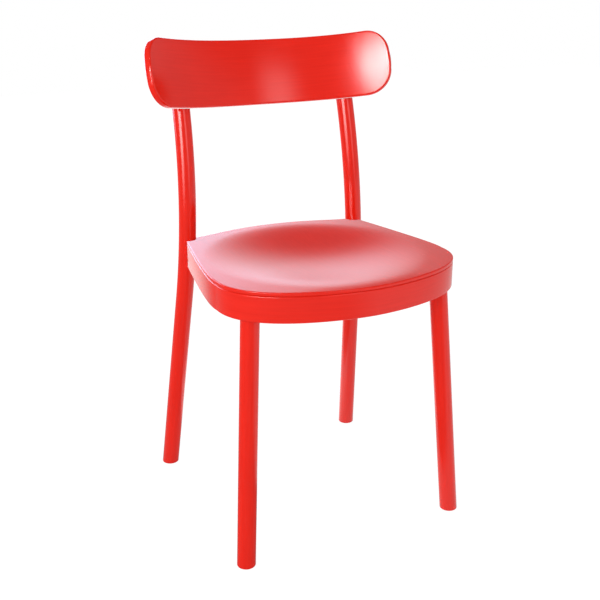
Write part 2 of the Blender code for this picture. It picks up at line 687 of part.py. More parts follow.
def add_back_screws(side_name, side, leg, panel):
    """Two screws from behind, square to the panel, through the leg's middle."""
    panel_place = back_place()
    path = rear_leg_path(side)
    length = 2 * LEG_RADIUS - BACK_SCREW_SUNK - BACK_LAP + BACK_THICKNESS - BACK_SCREW_COVER
    for level, rise in (("lower", -BACK_SCREW_SPACING / 2), ("upper", BACK_SCREW_SPACING / 2)):
        centre = point_at_height(path, BACK_MIDDLE_Z + rise * cos(REAR_POST_RAKE))
        height = (panel_place.inverted() @ centre).z
        inward = (panel_place @ Vector((0, -BACK_CURVE_RADIUS, height)) - centre).normalized()
        place = aim(centre - inward * (LEG_RADIUS - BACK_SCREW_SUNK), inward)
        screw("back_screw_" + side_name + "_" + level, place, length, [leg, panel])


def add_front_screw(side_name, side, leg, ring):
    """One screw from inside the hoop through the leg's tenon."""
    socket, outward = front_leg_socket(side)
    direction = front_leg_direction(side)
    tenon = socket + direction * (RING_MIDDLE - RING_BOTTOM) / direction.z
    wall = ray_to_loop(opening_outline(), tenon.to_2d(), -outward.to_2d())
    length = wall - FRONT_SCREW_SUNK + FRONT_SCREW_BITE
    place = aim(tenon - outward * (wall - FRONT_SCREW_SUNK), outward)
    screw("front_screw_" + side_name, place, length, [leg, ring])


def add_glide(label, foot, leg):
    """Glide let into the end of the leg, with its nail."""
    floor = Matrix.Translation((foot.x, foot.y, 0))
    recess = [(GLIDE_RADIUS + GAP, -OVERSHOOT), (GLIDE_RADIUS + GAP, GLIDE_HEIGHT + GAP)]
    cut([leg], make_object(label + "_recess", turned(recess, ROUND_SIDES), floor))
    body = [(GLIDE_RADIUS - GLIDE_ROUNDING, 0.0), (GLIDE_RADIUS, GLIDE_ROUNDING),
            (GLIDE_RADIUS, GLIDE_HEIGHT)]
    glide = make_object("foot_glide_" + label, turned(body, ROUND_SIDES), floor, GREY_PLASTIC)
    under_head = NAIL_SUNK + NAIL_HEAD_HEIGHT
    hole = [(NAIL_HEAD_RADIUS + GAP, -OVERSHOOT), (NAIL_HEAD_RADIUS + GAP, under_head + GAP),
            (NAIL_RADIUS + GAP, under_head + GAP), (NAIL_RADIUS + GAP, NAIL_LENGTH + GAP)]
    cut([leg, glide], make_object(label + "_nail_hole", turned(hole), floor))
    nail = [(NAIL_HEAD_RADIUS, NAIL_SUNK), (NAIL_HEAD_RADIUS, under_head),
            (NAIL_RADIUS, under_head), (NAIL_RADIUS, NAIL_LENGTH)]
    make_object("glide_nail_" + label, turned(nail), floor, ZINC_STEEL)


def build():
    clear_scene()
    panel = make_seat_panel()
    ring = make_seat_ring()
    rear_legs = {}
    for side_name, side in SIDES.items():
        front_leg = make_front_leg(side_name, side, ring)
        add_front_screw(side_name, side, front_leg, ring)
        rear_legs[side_name] = make_rear_leg(side_name, side, [ring, panel])
        add_rear_bolts(side_name, side, rear_legs[side_name], ring)
    backrest = make_backrest(list(rear_legs.values()))
    for side_name, side in SIDES.items():
        add_back_screws(side_name, side, rear_legs[side_name], backrest)
    hang_together([piece for piece in bpy.data.objects if piece.type == "MESH"])


build()
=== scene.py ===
# %% [markdown]
# A red lacquered side chair. Its solid model already settles every size and every place, so this
# file makes each piece again with a finer skin and gives each surface its finish.
# The solids come first, because every piece below stands exactly where one of them stands.

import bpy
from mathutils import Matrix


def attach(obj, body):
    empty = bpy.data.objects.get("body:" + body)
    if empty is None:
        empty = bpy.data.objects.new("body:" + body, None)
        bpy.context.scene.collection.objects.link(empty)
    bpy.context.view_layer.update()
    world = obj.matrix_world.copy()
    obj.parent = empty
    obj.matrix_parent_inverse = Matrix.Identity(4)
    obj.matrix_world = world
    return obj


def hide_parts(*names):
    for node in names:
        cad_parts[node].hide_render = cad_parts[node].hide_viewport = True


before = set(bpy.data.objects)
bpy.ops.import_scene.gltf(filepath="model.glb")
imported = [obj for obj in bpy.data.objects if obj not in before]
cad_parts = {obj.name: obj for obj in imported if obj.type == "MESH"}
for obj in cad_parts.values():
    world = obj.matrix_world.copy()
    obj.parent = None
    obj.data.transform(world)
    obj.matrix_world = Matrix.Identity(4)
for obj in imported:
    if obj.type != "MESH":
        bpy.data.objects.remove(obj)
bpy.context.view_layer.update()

# %% [markdown]
# Everything is drawn in metres, with Z up. The chair faces -Y, and left and right are as seen from
# its front, right being +X. Pieces that touch keep a hair of air between them, as two lacquered
# pieces do. A tool that cuts reaches a little past what it cuts, so that it leaves no thin skin.

# %% Units, sides and the air between pieces
from math import atan2, cos, pi, radians, sin, sqrt, tan

import bmesh
import bpy
from mathutils import Matrix, Vector

GAP = 0.0003
PAST = 0.010
UP = Vector((0, 0, 1))
SIDES = {"left": -1, "right": 1}

# %% [markdown]
# A piece is first a bmesh, which is Blender's open, editable form of a mesh. Ready cylinders and
# cubes could be bent and cut into shape, but they bring too few points where a chair curves. So
# most pieces here are skins over a row of equal loops: a leg is a row of circles, the seat a row
# of outlines that shrink towards its middle. One function makes them all.

# %% Skins and turned shapes
def skin(loops, closed=False):
    """Cover a row of equal loops with faces; cap its ends, or join the last loop to the first."""
    shape = bmesh.new()
    rows = [[shape.verts.new(point) for point in loop] for loop in loops]
    following = rows[1:] + rows[:1] if closed else rows[1:]
    for lower, upper in zip(rows, following):
        for i in range(len(lower)):
            shape.faces.new((lower[i - 1], lower[i], upper[i], upper[i - 1]))
    if not closed:
        shape.faces.new(rows[0])
        shape.faces.new(rows[-1])
    return shape


def turned(profile, place, sides, closed=False):
    """Turn (radius, distance) steps about place's axis; a radius may be a function of angle."""
    loops = []
    for radius, distance in profile:
        loop = []
        for i in range(sides):
            angle = 2 * pi * i / sides
            reach = radius(angle) if callable(radius) else radius
            loop.append(place @ Vector((reach * cos(angle), reach * sin(angle), distance)))
        loops.append(loop)
    return skin(loops, closed)


def aim(point, direction):
    """Place at a point whose Z axis runs along the direction."""
    turn = Vector(direction).to_track_quat("Z", "Y").to_matrix().to_4x4()
    return Matrix.Translation(point) @ turn

# %% [markdown]
# Real edges are never knife sharp. Lacquer and sandpaper leave a small round, and that round is
# what catches the light. A Bevel modifier could add it. Here its rows are part of each skin, so
# they keep their number and width all along an edge. The rows go over a quarter round in steps,
# from a flat face to a wall. One more row just inside the flat face keeps that face's own shading
# flat up to its edge.

# %% Rounded edges
ROUND_STEPS = 6
HOLDING_ROW = 0.0004


def quarter_turns(steps):
    """Angles from nothing to a quarter turn."""
    return [pi / 2 * i / steps for i in range(steps + 1)]


def rounded(radius, steps=ROUND_STEPS):
    """(inset, drop) rows of a rounded edge, from the flat face to the wall."""
    rows = [(radius * (1 - sin(turn)), radius * (1 - cos(turn))) for turn in quarter_turns(steps)]
    return [(radius + HOLDING_ROW, 0.0)] + rows


def rounded_back(radius, steps=ROUND_STEPS):
    """The same rows from the wall to the flat face."""
    return rounded(radius, steps)[::-1]

# %% [markdown]
# The boards of this chair are cut to long, easy curves. Their outlines could be typed in as lists
# of points, but a few cubic curves, each drawn from its two ends and two handles, say the same with
# sizes that a maker would measure. An outline is moved inwards point by point, along the bisector
# of the two edges that meet there.

# %% Curves and outlines
def cubic(start, start_handle, end_handle, end, t):
    """Point of a cubic curve."""
    u = 1 - t
    return start * u**3 + start_handle * 3 * u * u * t + end_handle * 3 * u * t * t + end * t**3


def run_of_curves(start, *curves):
    """Points of curves that follow each other; each has two handles, an end and its steps."""
    points = []
    for start_handle, end_handle, end, steps in curves:
        points += [cubic(start, start_handle, end_handle, end, i / steps) for i in range(steps)]
        start = end
    return points + [start]


def mirrored_loop(half):
    """Close the right half of an outline with its mirror image."""
    return half + [Vector((-point.x, point.y)) for point in reversed(half[1:-1])]


def inset(loop, distance):
    """Move an outline inwards, or outwards when the distance is negative."""
    moved = []
    for i, here in enumerate(loop):
        arriving = (here - loop[i - 1]).normalized().orthogonal()
        leaving = (loop[(i + 1) % len(loop)] - here).normalized().orthogonal()
        mean = (arriving + leaving).normalized()
        moved.append(here + mean * distance / mean.dot(arriving))
    return moved


def level(loop, height):
    """Lift a flat outline to a height."""
    return [Vector((point.x, point.y, height)) for point in loop]

# %% [markdown]
# A bmesh becomes an object once its shape is done. Holes and notches could be built into each
# skin, but they cross its loops at odd angles, so a Boolean cuts them instead. All the tools that
# cut one piece are joined into one mesh first, because one cut is much quicker than ten.

# %% Objects and cutting
def add_object(name, data):
    """Put an object with this mesh, lamp or camera into the scene."""
    thing = bpy.data.objects.new(name, data)
    bpy.context.scene.collection.objects.link(thing)
    return thing


def as_mesh(name, shape):
    """Write a bmesh into a mesh and let go of it."""
    mesh = bpy.data.meshes.new(name)
    shape.to_mesh(mesh)
    shape.free()
    return mesh


def face_outwards(shape):
    """Turn all faces of a closed shape so that they point out of it."""
    bmesh.ops.recalc_face_normals(shape, faces=shape.faces)
    if shape.calc_volume(signed=True) < 0:
        bmesh.ops.reverse_faces(shape, faces=shape.faces)


def as_object(name, shape):
    """Turn a bmesh into an object with its faces pointing out."""
    face_outwards(shape)
    return add_object(name, as_mesh(name, shape))


def combine(piece, shape, operation):
    """Cut a shape out of a piece, or join it on."""
    tool = as_object(piece.name + "_tool", shape)
    change = piece.modifiers.new("combine", "BOOLEAN")
    change.operation = operation
    change.solver = "EXACT"
    change.object = tool
    with bpy.context.temp_override(object=piece, active_object=piece):
        bpy.ops.object.modifier_apply(modifier=change.name)
    bpy.data.objects.remove(tool, do_unlink=True)


def cut(piece, shapes):
    """Cut several shapes that don't touch each other out of a piece at one go."""
    joined = bmesh.new()
    for shape in shapes:
        face_outwards(shape)
        part = as_mesh("part", shape)
        joined.from_mesh(part)
        bpy.data.meshes.remove(part)
    combine(piece, joined, "DIFFERENCE")

# %% [markdown]
# Wood keeps its grain when it is bent: the grain follows the bend. Grain drawn in the room's own
# coordinates would run straight through every bend, so each wooden piece stores, at every point,
# where that point lay in the straight blank, and the lacquer reads its grain there. Faces are
# shaded smoothly, apart from edges that turn by more than the sharp angle.

# %% Keeping a piece
SHARP = radians(32)


def store_grain(piece, place_in_blank):
    """Store at each point its place in the straight blank, in metres."""
    grain = piece.data.attributes.new("grain", "FLOAT_VECTOR", "POINT")
    for point, vertex in zip(grain.data, piece.data.vertices):
        point.vector = place_in_blank(vertex.co)


def keep(piece, node, finish):
    """Give a piece its finish and let it stand for its solid and move with the chair."""
    piece.data.materials.clear()
    piece.data.materials.append(finish)
    piece.data.shade_smooth()
    piece.data.set_sharp_from_angle(angle=SHARP)
    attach(piece, "root")
    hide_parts(node)
    print(piece.name, "stands for", node, "with", len(piece.data.polygons), "faces")

# %% [markdown]
# Materials are built from nodes. Each node could be added and linked on its own, but then a short
# sum takes many lines. This small class wraps a node's output so that sums can be written as sums:
# each operator adds the Math node that does it. Any other node comes from the add method, which
# sets the node's own settings first and then fills its sockets with numbers or with other outputs.
# The Mix node keeps its amount, its two colours and its mixed colour at the four places named
# here.

# %% Shader sums
MIX_AMOUNT, MIX_FIRST, MIX_SECOND, MIX_COLOUR = 0, 6, 7, 2


class Wire:
    """An output in a node tree that takes part in sums."""

    def __init__(self, tree, socket=None):
        self.tree = tree
        self.socket = socket

    def add(self, kind, settings=None, sockets=None, output=0):
        """Add a node and return one of its outputs."""
        node = self.tree.nodes.new(kind)
        for name, value in (settings or {}).items():
            setattr(node, name, value)
        for name, value in (sockets or {}).items():
            if isinstance(value, Wire):
                self.tree.links.new(value.socket, node.inputs[name])
            else:
                node.inputs[name].default_value = value
        return Wire(self.tree, node.outputs[output])

    def math(self, operation, first, second=0.0, third=0.0, clamped=False):
        """Add a Math node."""
        settings = {"operation": operation, "use_clamp": clamped}
        return self.add("ShaderNodeMath", settings, {0: first, 1: second, 2: third})

    def __add__(self, other):
        return self.math("ADD", self, other)

    def __radd__(self, other):
        return self.math("ADD", other, self)

    def __sub__(self, other):
        return self.math("SUBTRACT", self, other)

    def __rsub__(self, other):
        return self.math("SUBTRACT", other, self)

    def __mul__(self, other):
        return self.math("MULTIPLY", self, other)

    def __rmul__(self, other):
        return self.math("MULTIPLY", other, self)

    def __pow__(self, other):
        return self.math("POWER", self, other)

    def between(self, low, high):
        """0 below low, 1 above high and smooth in between."""
        settings = {"interpolation_type": "SMOOTHSTEP"}
        sockets = {"Value": self, "From Min": low, "From Max": high}
        return self.add("ShaderNodeMapRange", settings, sockets)

    def scaled(self, factors):
        """Multiply a vector by three factors."""
        return self.add("ShaderNodeVectorMath", {"operation": "MULTIPLY"}, {0: self, 1: factors})

    def parts(self, axes):
        """The named coordinates of a vector."""
        return [self.add("ShaderNodeSeparateXYZ", None, {0: self}, output=axis) for axis in axes]

    def noise(self, scale, detail=2.0, roughness=0.5):
        """Soft random values, read at this place."""
        sockets = {"Vector": self, "Scale": scale, "Detail": detail, "Roughness": roughness}
        return self.add("ShaderNodeTexNoise", None, sockets)

    def blend(self, first, second):
        """Mix two colours by this amount."""
        sockets = {MIX_AMOUNT: self, MIX_FIRST: first, MIX_SECOND: second}
        return self.add("ShaderNodeMix", {"data_type": "RGBA"}, sockets, output=MIX_COLOUR)

# %% [markdown]
# Every material of this chair starts from Blender's Principled shader, which covers paint, metal
# and plastic alike. Three small functions save repeating the same steps: one starts a material,
# one leads a sum into a socket, and one presses a pattern into the surface with a Bump node. A
# Bump changes only the shading, which is enough for relief that is thinner than paper; real
# displacement would need far more faces.

# %% Starting a material
def new_finish(name, settings=None):
    """Start a material and return it with its shader node and a wire to build from."""
    finish = bpy.data.materials.new(name)
    finish.use_nodes = True
    shader = finish.node_tree.nodes["Principled BSDF"]
    for socket, value in (settings or {}).items():
        shader.inputs[socket].default_value = value
    return finish, shader, Wire(finish.node_tree)


def feed(wire, shader, socket):
    """Lead a wire into one of the shader's sockets."""
    wire.tree.links.new(wire.socket, shader.inputs[socket])


def emboss(height, shader, relief, strength=1.0):
    """Press a pattern into a surface; relief is its full height in metres."""
    sockets = {"Height": height, "Distance": relief, "Strength": strength}
    feed(height.add("ShaderNodeBump", None, sockets), shader, "Normal")

# %% [markdown]
# The chair is beech under a covering satin lacquer. One flat red would look like plastic, because
# the wood still shows through as relief: wide soft ridges where the growth rings lie, and short
# fine pores, both long along the grain and narrow across it. The lacquer film itself has a faint
# orange peel. Noise that is stretched along the grain draws all of it at its true size, with no
# picture to fit. The colour shifts a little with the ridges and in large soft clouds, since
# lacquer lies thicker in the hollows. The seat and the legs are rubbed down more, so their relief
# is lower.

# %% Red lacquer
LACQUER_BRIGHT = (0.800, 0.014, 0.004, 1.0)
LACQUER_DEEP = (0.750, 0.012, 0.003, 1.0)
RIDGES_PER_METRE = 280
RIDGE_DETAIL = 3.0
RIDGE_FINENESS = 0.55
PORES_PER_METRE = 1500
FILM_DETAIL = 1.0
PORE_EDGES = (0.52, 0.70)
PEEL_PER_METRE = 420
CLOUDS_PER_METRE = 9
RIDGE_TINT = 0.6
CLOUD_TINT = 0.4
TINT_EDGES = (0.35, 0.65)
RIDGE_DULLNESS = 0.06
PORE_DULLNESS = 0.03
RIDGE_HEIGHT = 0.90
PORE_DEPTH = 0.35
PEEL_HEIGHT = 0.10


def red_lacquer(name, lay, roughness, relief, crown_radius=None):
    """Lacquer over wood; lay stretches its grain: 1 across the grain, less along it.

    A crown is the slight rounding, from edge to edge, that sanding leaves on a wide face. It falls
    away from the middle by the square of the distance over twice its radius.
    """
    finish, shader, start = new_finish(name)
    blank = start.add("ShaderNodeAttribute", {"attribute_name": "grain"}, output="Vector")
    lying = blank.scaled(lay)
    ridges = lying.noise(RIDGES_PER_METRE, RIDGE_DETAIL, RIDGE_FINENESS)
    pores = lying.noise(PORES_PER_METRE, FILM_DETAIL).between(*PORE_EDGES)
    peel = blank.noise(PEEL_PER_METRE, FILM_DETAIL)
    cloud = blank.noise(CLOUDS_PER_METRE)
    depth = (ridges * RIDGE_TINT + cloud * CLOUD_TINT).between(*TINT_EDGES)
    feed(depth.blend(LACQUER_DEEP, LACQUER_BRIGHT), shader, "Base Color")
    feed(roughness + ridges * RIDGE_DULLNESS + pores * PORE_DULLNESS, shader, "Roughness")
    height = ridges * RIDGE_HEIGHT - pores * PORE_DEPTH + peel * PEEL_HEIGHT
    if crown_radius:
        across, = blank.parts("Y")
        height = height - across * across * (0.5 / crown_radius / relief)
    emboss(height, shader, relief)
    return finish

# %% [markdown]
# The pieces of wood lie in their blanks in different ways, so the same lacquer is made four times.
# The grain runs from front to back in the seat, level round the hoop, up the legs and along the
# backrest. One material could read the direction from the mesh, but four with their own numbers
# are easier to follow. The backrest's face also gets its crown.

# %% Four lacquers
ALONG = 0.035
FULL_RELIEF = 0.00003
RUBBED_RELIEF = 0.00001
BACK_FACE_CROWN = 1.27
SEAT_LACQUER = red_lacquer("red_lacquer_seat", lay=(1.0, ALONG, 1.0), roughness=0.20,
                           relief=RUBBED_RELIEF)
HOOP_LACQUER = red_lacquer("red_lacquer_hoop", lay=(ALONG, ALONG, 1.0), roughness=0.18,
                           relief=FULL_RELIEF)
LEG_LACQUER = red_lacquer("red_lacquer_legs", lay=(1.0, 1.0, ALONG), roughness=0.12,
                          relief=RUBBED_RELIEF)
BACK_LACQUER = red_lacquer("red_lacquer_back", lay=(ALONG, 1.0, 1.0), roughness=0.14,
                           relief=FULL_RELIEF, crown_radius=BACK_FACE_CROWN)
print("lacquers:", [finish.name for finish in bpy.data.materials if "lacquer_" in finish.name])

# %% [markdown]
# The seat's outline is nearly round in front and gently bowed along the back, with the rear
# corners cut away where the legs pass. A rectangle with round corners would be simpler, but this
# edge is hardly ever straight. Three curves make its right half: front to side, side to corner,
# corner to back. The left half is its mirror image, as on a seat that is routed with one template.

# %% Seat outline
SEAT_FRONT_Y = -0.2270
SEAT_BACK_Y = 0.1720
SEAT_SIDE_X = 0.2071
SEAT_SIDE_Y = -0.1014
SEAT_CORNER_X = 0.1686
SEAT_CORNER_Y = 0.1458
FRONT_EDGE_REACH = 0.0510
FRONT_SIDE_REACH = 0.1056
SIDE_NODE_REACH = 0.0178
SIDE_CORNER_REACH = 0.2388
SIDE_CORNER_SLANT = radians(11.692)
BACK_CORNER_REACH = 0.0350
BACK_CORNER_SLANT = radians(14.687)
BACK_EDGE_REACH = 0.0931
EDGE_STEPS = 44
BACK_EDGE_STEPS = 26


def front_edge():
    """Nodes of the front edge's right half, from the side node to the middle."""
    side = Vector((SEAT_SIDE_X, SEAT_SIDE_Y))
    front = Vector((0, SEAT_FRONT_Y))
    front_handle = front + Vector((FRONT_EDGE_REACH, 0))
    return side, side - Vector((0, FRONT_SIDE_REACH)), front_handle, front


def seat_outline():
    """The seat's edge as one loop, from the front middle round the right side and back."""
    side, side_handle, front_handle, front = front_edge()
    corner = Vector((SEAT_CORNER_X, SEAT_CORNER_Y))
    back = Vector((0, SEAT_BACK_Y))
    along_side = Vector((sin(SIDE_CORNER_SLANT), -cos(SIDE_CORNER_SLANT)))
    along_back = Vector((-cos(BACK_CORNER_SLANT), -sin(BACK_CORNER_SLANT)))
    return mirrored_loop(run_of_curves(
        front, (front_handle, side_handle, side, EDGE_STEPS),
        (side + Vector((0, SIDE_NODE_REACH)), corner + along_side * SIDE_CORNER_REACH,
         corner, EDGE_STEPS),
        (corner + along_back * BACK_CORNER_REACH, back + Vector((BACK_EDGE_REACH, 0)),
         back, BACK_EDGE_STEPS)))


OUTLINE = seat_outline()
print("seat outline:", len(OUTLINE), "points")

# %% [markdown]
# The rear legs come before the seat, because they cut its corners. Each is one round bar that
# rises straight, bends back on a wide arc centred a little above the seat and goes on straight to
# the backrest. Three pieces joined end to end would show seams, so the middle line is worked out
# as one path of points, two straights with the steps of the arc between them.

# %% Path of the rear legs
LEG_RADIUS = 0.0153
SEAT_TOP = 0.4667
REAR_LEG_IN = 0.0020
REAR_LEG_FORWARD = 0.0045
REAR_LEG_SPLAY = radians(3.805)
REAR_LEG_RAKE = radians(9.224)
REAR_POST_SPLAY = radians(0.940)
REAR_POST_RAKE = radians(17.307)
BEND_RADIUS = 0.7710
BEND_HEIGHT = 0.5383
BEND_STEPS = 40
BACK_MIDDLE_Z = 0.7368
BACK_HEIGHT = 0.1152


def point_at_height(path, height):
    """Where a path passes a height."""
    for a, b in zip(path, path[1:]):
        if a.z <= height <= b.z:
            return a.lerp(b, (height - a.z) / (b.z - a.z))
    return path[-1]


def rear_leg_path(side):
    """Middle line of a rear leg: straight, bent on an arc, straight again."""
    lower = Vector((-tan(REAR_LEG_SPLAY), -tan(REAR_LEG_RAKE), 1)).normalized()
    upper = Vector((-tan(REAR_POST_SPLAY), tan(REAR_POST_RAKE), 1)).normalized()
    turn = lower.angle(upper)
    run = BEND_RADIUS * tan(turn / 2)
    start = UP * BEND_HEIGHT - lower * run
    end = UP * BEND_HEIGHT + upper * run
    inward = (upper - lower * lower.dot(upper)).normalized()
    path = [start - lower * (start.z + PAST) / lower.z]
    for i in range(BEND_STEPS + 1):
        angle = turn * i / BEND_STEPS
        path.append(start + lower * BEND_RADIUS * sin(angle)
                    + inward * BEND_RADIUS * (1 - cos(angle)))
    path.append(end + upper * (BACK_MIDDLE_Z + BACK_HEIGHT - end.z) / upper.z)
    seat_corner = Vector((SEAT_CORNER_X - REAR_LEG_IN, SEAT_CORNER_Y - REAR_LEG_FORWARD, SEAT_TOP))
    shift = seat_corner - point_at_height(path, SEAT_TOP)
    return [Vector((side * (point.x + shift.x), point.y + shift.y, point.z)) for point in path]


REAR_PATHS = {name: rear_leg_path(side) for name, side in SIDES.items()}
print("rear legs:", len(REAR_PATHS["right"]), "points along each")

# %% [markdown]
# A Curve object with a round bevel would draw such a bar too, but only a mesh can be sawn and
# drilled. So a bar is a row of circles, each square to the path. Saw cuts level its ends: the mesh
# is bisected and the cut is filled. Then the filled face is drawn in and up in small steps, which
# rounds its rim as sandpaper does.

# %% Round bars and saw cuts
LEG_SIDES = 72
SAW_ROUNDING_STEPS = 5


def axes_at(path, i):
    """Two directions square to the path at one of its points, and the direction along it."""
    along = (path[min(i + 1, len(path) - 1)] - path[max(i - 1, 0)]).normalized()
    across = along.cross(Vector((0, 1, 0))).normalized()
    return across, along.cross(across), along


def bar(path, radius):
    """Round bar along a path that keeps close to one plane."""
    angles = [2 * pi * k / LEG_SIDES for k in range(LEG_SIDES)]
    loops = []
    for i, point in enumerate(path):
        across, ahead, _ = axes_at(path, i)
        loops.append([point + radius * (across * cos(a) + ahead * sin(a)) for a in angles])
    return skin(loops)


def everything(shape):
    """All points, edges and faces of a shape."""
    return shape.verts[:] + shape.edges[:] + shape.faces[:]


def saw(shape, point, outward, rounding=0.0):
    """Saw a shape off flat and round the rim of the cut."""
    new_parts = bmesh.ops.bisect_plane(shape, geom=everything(shape), clear_outer=True,
                                       plane_co=point - outward * rounding,
                                       plane_no=outward)["geom_cut"]
    rim = [part for part in new_parts if isinstance(part, bmesh.types.BMEdge)]
    end = bmesh.ops.edgeloop_fill(shape, edges=rim)["faces"]
    if rounding == 0:
        return
    if end[0].normal.dot(outward) < 0:
        end[0].normal_flip()
    turns = quarter_turns(SAW_ROUNDING_STEPS)
    for before, after in zip(turns, turns[1:]):
        bmesh.ops.inset_region(shape, faces=end, use_even_offset=True,
                               thickness=rounding * (cos(before) - cos(after)),
                               depth=rounding * (sin(after) - sin(before)))

# %% [markdown]
# The backrest is a board of moulded plywood. It could be drawn bent from the start, but it is
# easier to lay out flat: it is sliced into many narrow upright strips, and then every point is
# moved to where the bend puts it. The same sum backwards gives its grain. The legs carry it, so
# its place is worked out from them: it is let into their front by the depth of the lap.

# %% Where the backrest sits
BACK_HALF_WIDTH = 0.2430
BACK_THICKNESS = 0.0120
BACK_CURVE_RADIUS = 0.3423
BACK_LAP = 0.0050


def back_place():
    """Place of the panel: middle of its front face, X across, Y to the rear and Z up its lean."""
    turn = Matrix.Rotation(-REAR_POST_RAKE, 4, "X")
    leg = turn.inverted() @ point_at_height(REAR_PATHS["right"], BACK_MIDDLE_Z)
    leg_circle = BACK_CURVE_RADIUS + BACK_THICKNESS + LEG_RADIUS - BACK_LAP
    leg_depth = sqrt(leg_circle**2 - leg.x**2) - BACK_CURVE_RADIUS
    middle_depth = leg.y - leg_depth
    y = (middle_depth + BACK_MIDDLE_Z * sin(REAR_POST_RAKE)) / cos(REAR_POST_RAKE)
    return Matrix.Translation((0, y, BACK_MIDDLE_Z)) @ turn


BACK_PLACE = back_place()
BACK_FROM_WORLD = BACK_PLACE.inverted()


def bent(along, height, depth):
    """Place of a point of the flat board once the board is bent."""
    angle = along / BACK_CURVE_RADIUS
    radius = BACK_CURVE_RADIUS + depth
    local = Vector((radius * sin(angle), radius * cos(angle) - BACK_CURVE_RADIUS, height))
    return BACK_PLACE @ local


def unbent(place):
    """Place in the flat board of a point of the bent one."""
    local = BACK_FROM_WORLD @ place
    from_axis = local.y + BACK_CURVE_RADIUS
    along = atan2(local.x, from_axis) * BACK_CURVE_RADIUS
    return Vector((along, local.z, sqrt(local.x**2 + from_axis**2) - BACK_CURVE_RADIUS))


print("backrest stands at", [round(v, 4) for v in BACK_PLACE.translation])

# %% [markdown]
# The board's top and bottom edges both rise slightly towards the middle and its ends swell a
# little, with generous round corners, the lower ones a little wider than the upper ones. Straight
# lines between round corners would look stiff on a bent board, so every side is a curve of its
# own, from the bottom middle round one end to the top middle.

# %% The backrest's board
BACK_ROUNDING = 0.0030
BACK_TOP_CROWN = 0.0046
BACK_BOTTOM_CROWN = 0.0049
BACK_END_CROWN = 0.0017
BACK_TOP_CORNER_WIDTH = 0.0399
BACK_TOP_CORNER_HEIGHT = 0.0409
BACK_BOTTOM_CORNER_WIDTH = 0.0462
BACK_BOTTOM_CORNER_HEIGHT = 0.0431
QUARTER_ROUND_REACH = 0.5523
CORNER_STEPS = 26


def back_outline():
    """Outline of the flat board, as one loop from the bottom middle round the right end."""
    top = BACK_HEIGHT / 2
    end = BACK_HALF_WIDTH
    reach = QUARTER_ROUND_REACH
    bottom_corner = Vector((end - BACK_BOTTOM_CORNER_WIDTH, -top))
    end_bottom = Vector((end, BACK_BOTTOM_CORNER_HEIGHT - top))
    end_top = Vector((end, top - BACK_TOP_CORNER_HEIGHT))
    top_corner = Vector((end - BACK_TOP_CORNER_WIDTH, top))
    bottom_middle = Vector((0, BACK_BOTTOM_CROWN - top))
    top_middle = Vector((0, top + BACK_TOP_CROWN))
    end_crown = Vector((BACK_END_CROWN, 0))
    return mirrored_loop(run_of_curves(
        bottom_middle,
        (bottom_middle + Vector((bottom_corner.x / 3, 0)),
         bottom_corner + Vector((-bottom_corner.x / 3, BACK_BOTTOM_CROWN / 3)),
         bottom_corner, CORNER_STEPS),
        (bottom_corner + Vector((BACK_BOTTOM_CORNER_WIDTH * reach, 0)),
         end_bottom - Vector((0, BACK_BOTTOM_CORNER_HEIGHT * reach)), end_bottom, CORNER_STEPS),
        (end_bottom.lerp(end_top, 1 / 3) + end_crown, end_bottom.lerp(end_top, 2 / 3) + end_crown,
         end_top, CORNER_STEPS // 2),
        (end_top + Vector((0, BACK_TOP_CORNER_HEIGHT * reach)),
         top_corner + Vector((BACK_TOP_CORNER_WIDTH * reach, 0)), top_corner, CORNER_STEPS),
        (top_corner + Vector((-top_corner.x / 3, BACK_TOP_CROWN / 3)),
         top_middle + Vector((top_corner.x / 3, 0)), top_middle, CORNER_STEPS)))

# %% [markdown]
# The flat board is a skin over copies of its outline, drawn in and lowered for one rounded edge
# and then for the other. A Simple Deform modifier could bend it, but then the screw holes and the
# laps in the legs would have to guess where the bend puts them. Bisecting slices it into strips
# without changing its shape, and then one function bends it point by point.

# %% Bending the board
SLICES = 110
SLICE_TOLERANCE = 0.000001


def bent_board(outline, front_depth, back_depth, rounding):
    """Cut a flat board with rounded edges, slice it into upright strips and bend it."""
    rows = [(inward, front_depth + drop) for inward, drop in rounded(rounding)]
    rows += [(inward, back_depth - drop) for inward, drop in rounded_back(rounding)]
    board = skin([level(inset(outline, inward), depth) for inward, depth in rows])
    width = max(point.x for point in outline)
    for i in range(1, SLICES):
        place = Vector((width * (2 * i / SLICES - 1), 0, 0))
        bmesh.ops.bisect_plane(board, geom=everything(board), dist=SLICE_TOLERANCE,
                               plane_co=place, plane_no=(1, 0, 0))
    for vertex in board.verts:
        vertex.co = bent(*vertex.co)
    return board


backrest = as_object("backrest_board",
                     bent_board(back_outline(), 0.0, BACK_THICKNESS, BACK_ROUNDING))
print("backrest:", len(backrest.data.vertices), "points")

# %% [markdown]
# Screws hold the backrest from behind, two through each leg. They have countersunk heads with a
# cross recess. The recess could be cut into the head, but a turned shape whose radius depends on
# the angle draws it in one closed skin: narrow between the four wings and wide along them.

# %% Screws
SCREW_RADIUS = 0.0022
SCREW_HEAD_RADIUS = 0.0045
SCREW_HEAD_HEIGHT = 0.0027
SCREW_POINT = 0.0040
SCREW_TIP_RADIUS = 0.0005
SCREW_SIDES = 48
WING_REACH = 0.0026
WING_HALF_WIDTH = 0.00055
SMALLEST_SINE = 0.05
RECESS_DEPTH = 0.0018
RECESS_FLOOR_SHARE = 0.5
EDGE_SOFTENING = 0.0002


def cross_recess(share):
    """Radius of a cross recess at an angle; the share draws its wings in."""
    def radius(angle):
        from_wing = abs(sin((angle + pi / 4) % (pi / 2) - pi / 4))
        return min(WING_REACH * share, WING_HALF_WIDTH / max(from_wing, SMALLEST_SINE))
    return radius


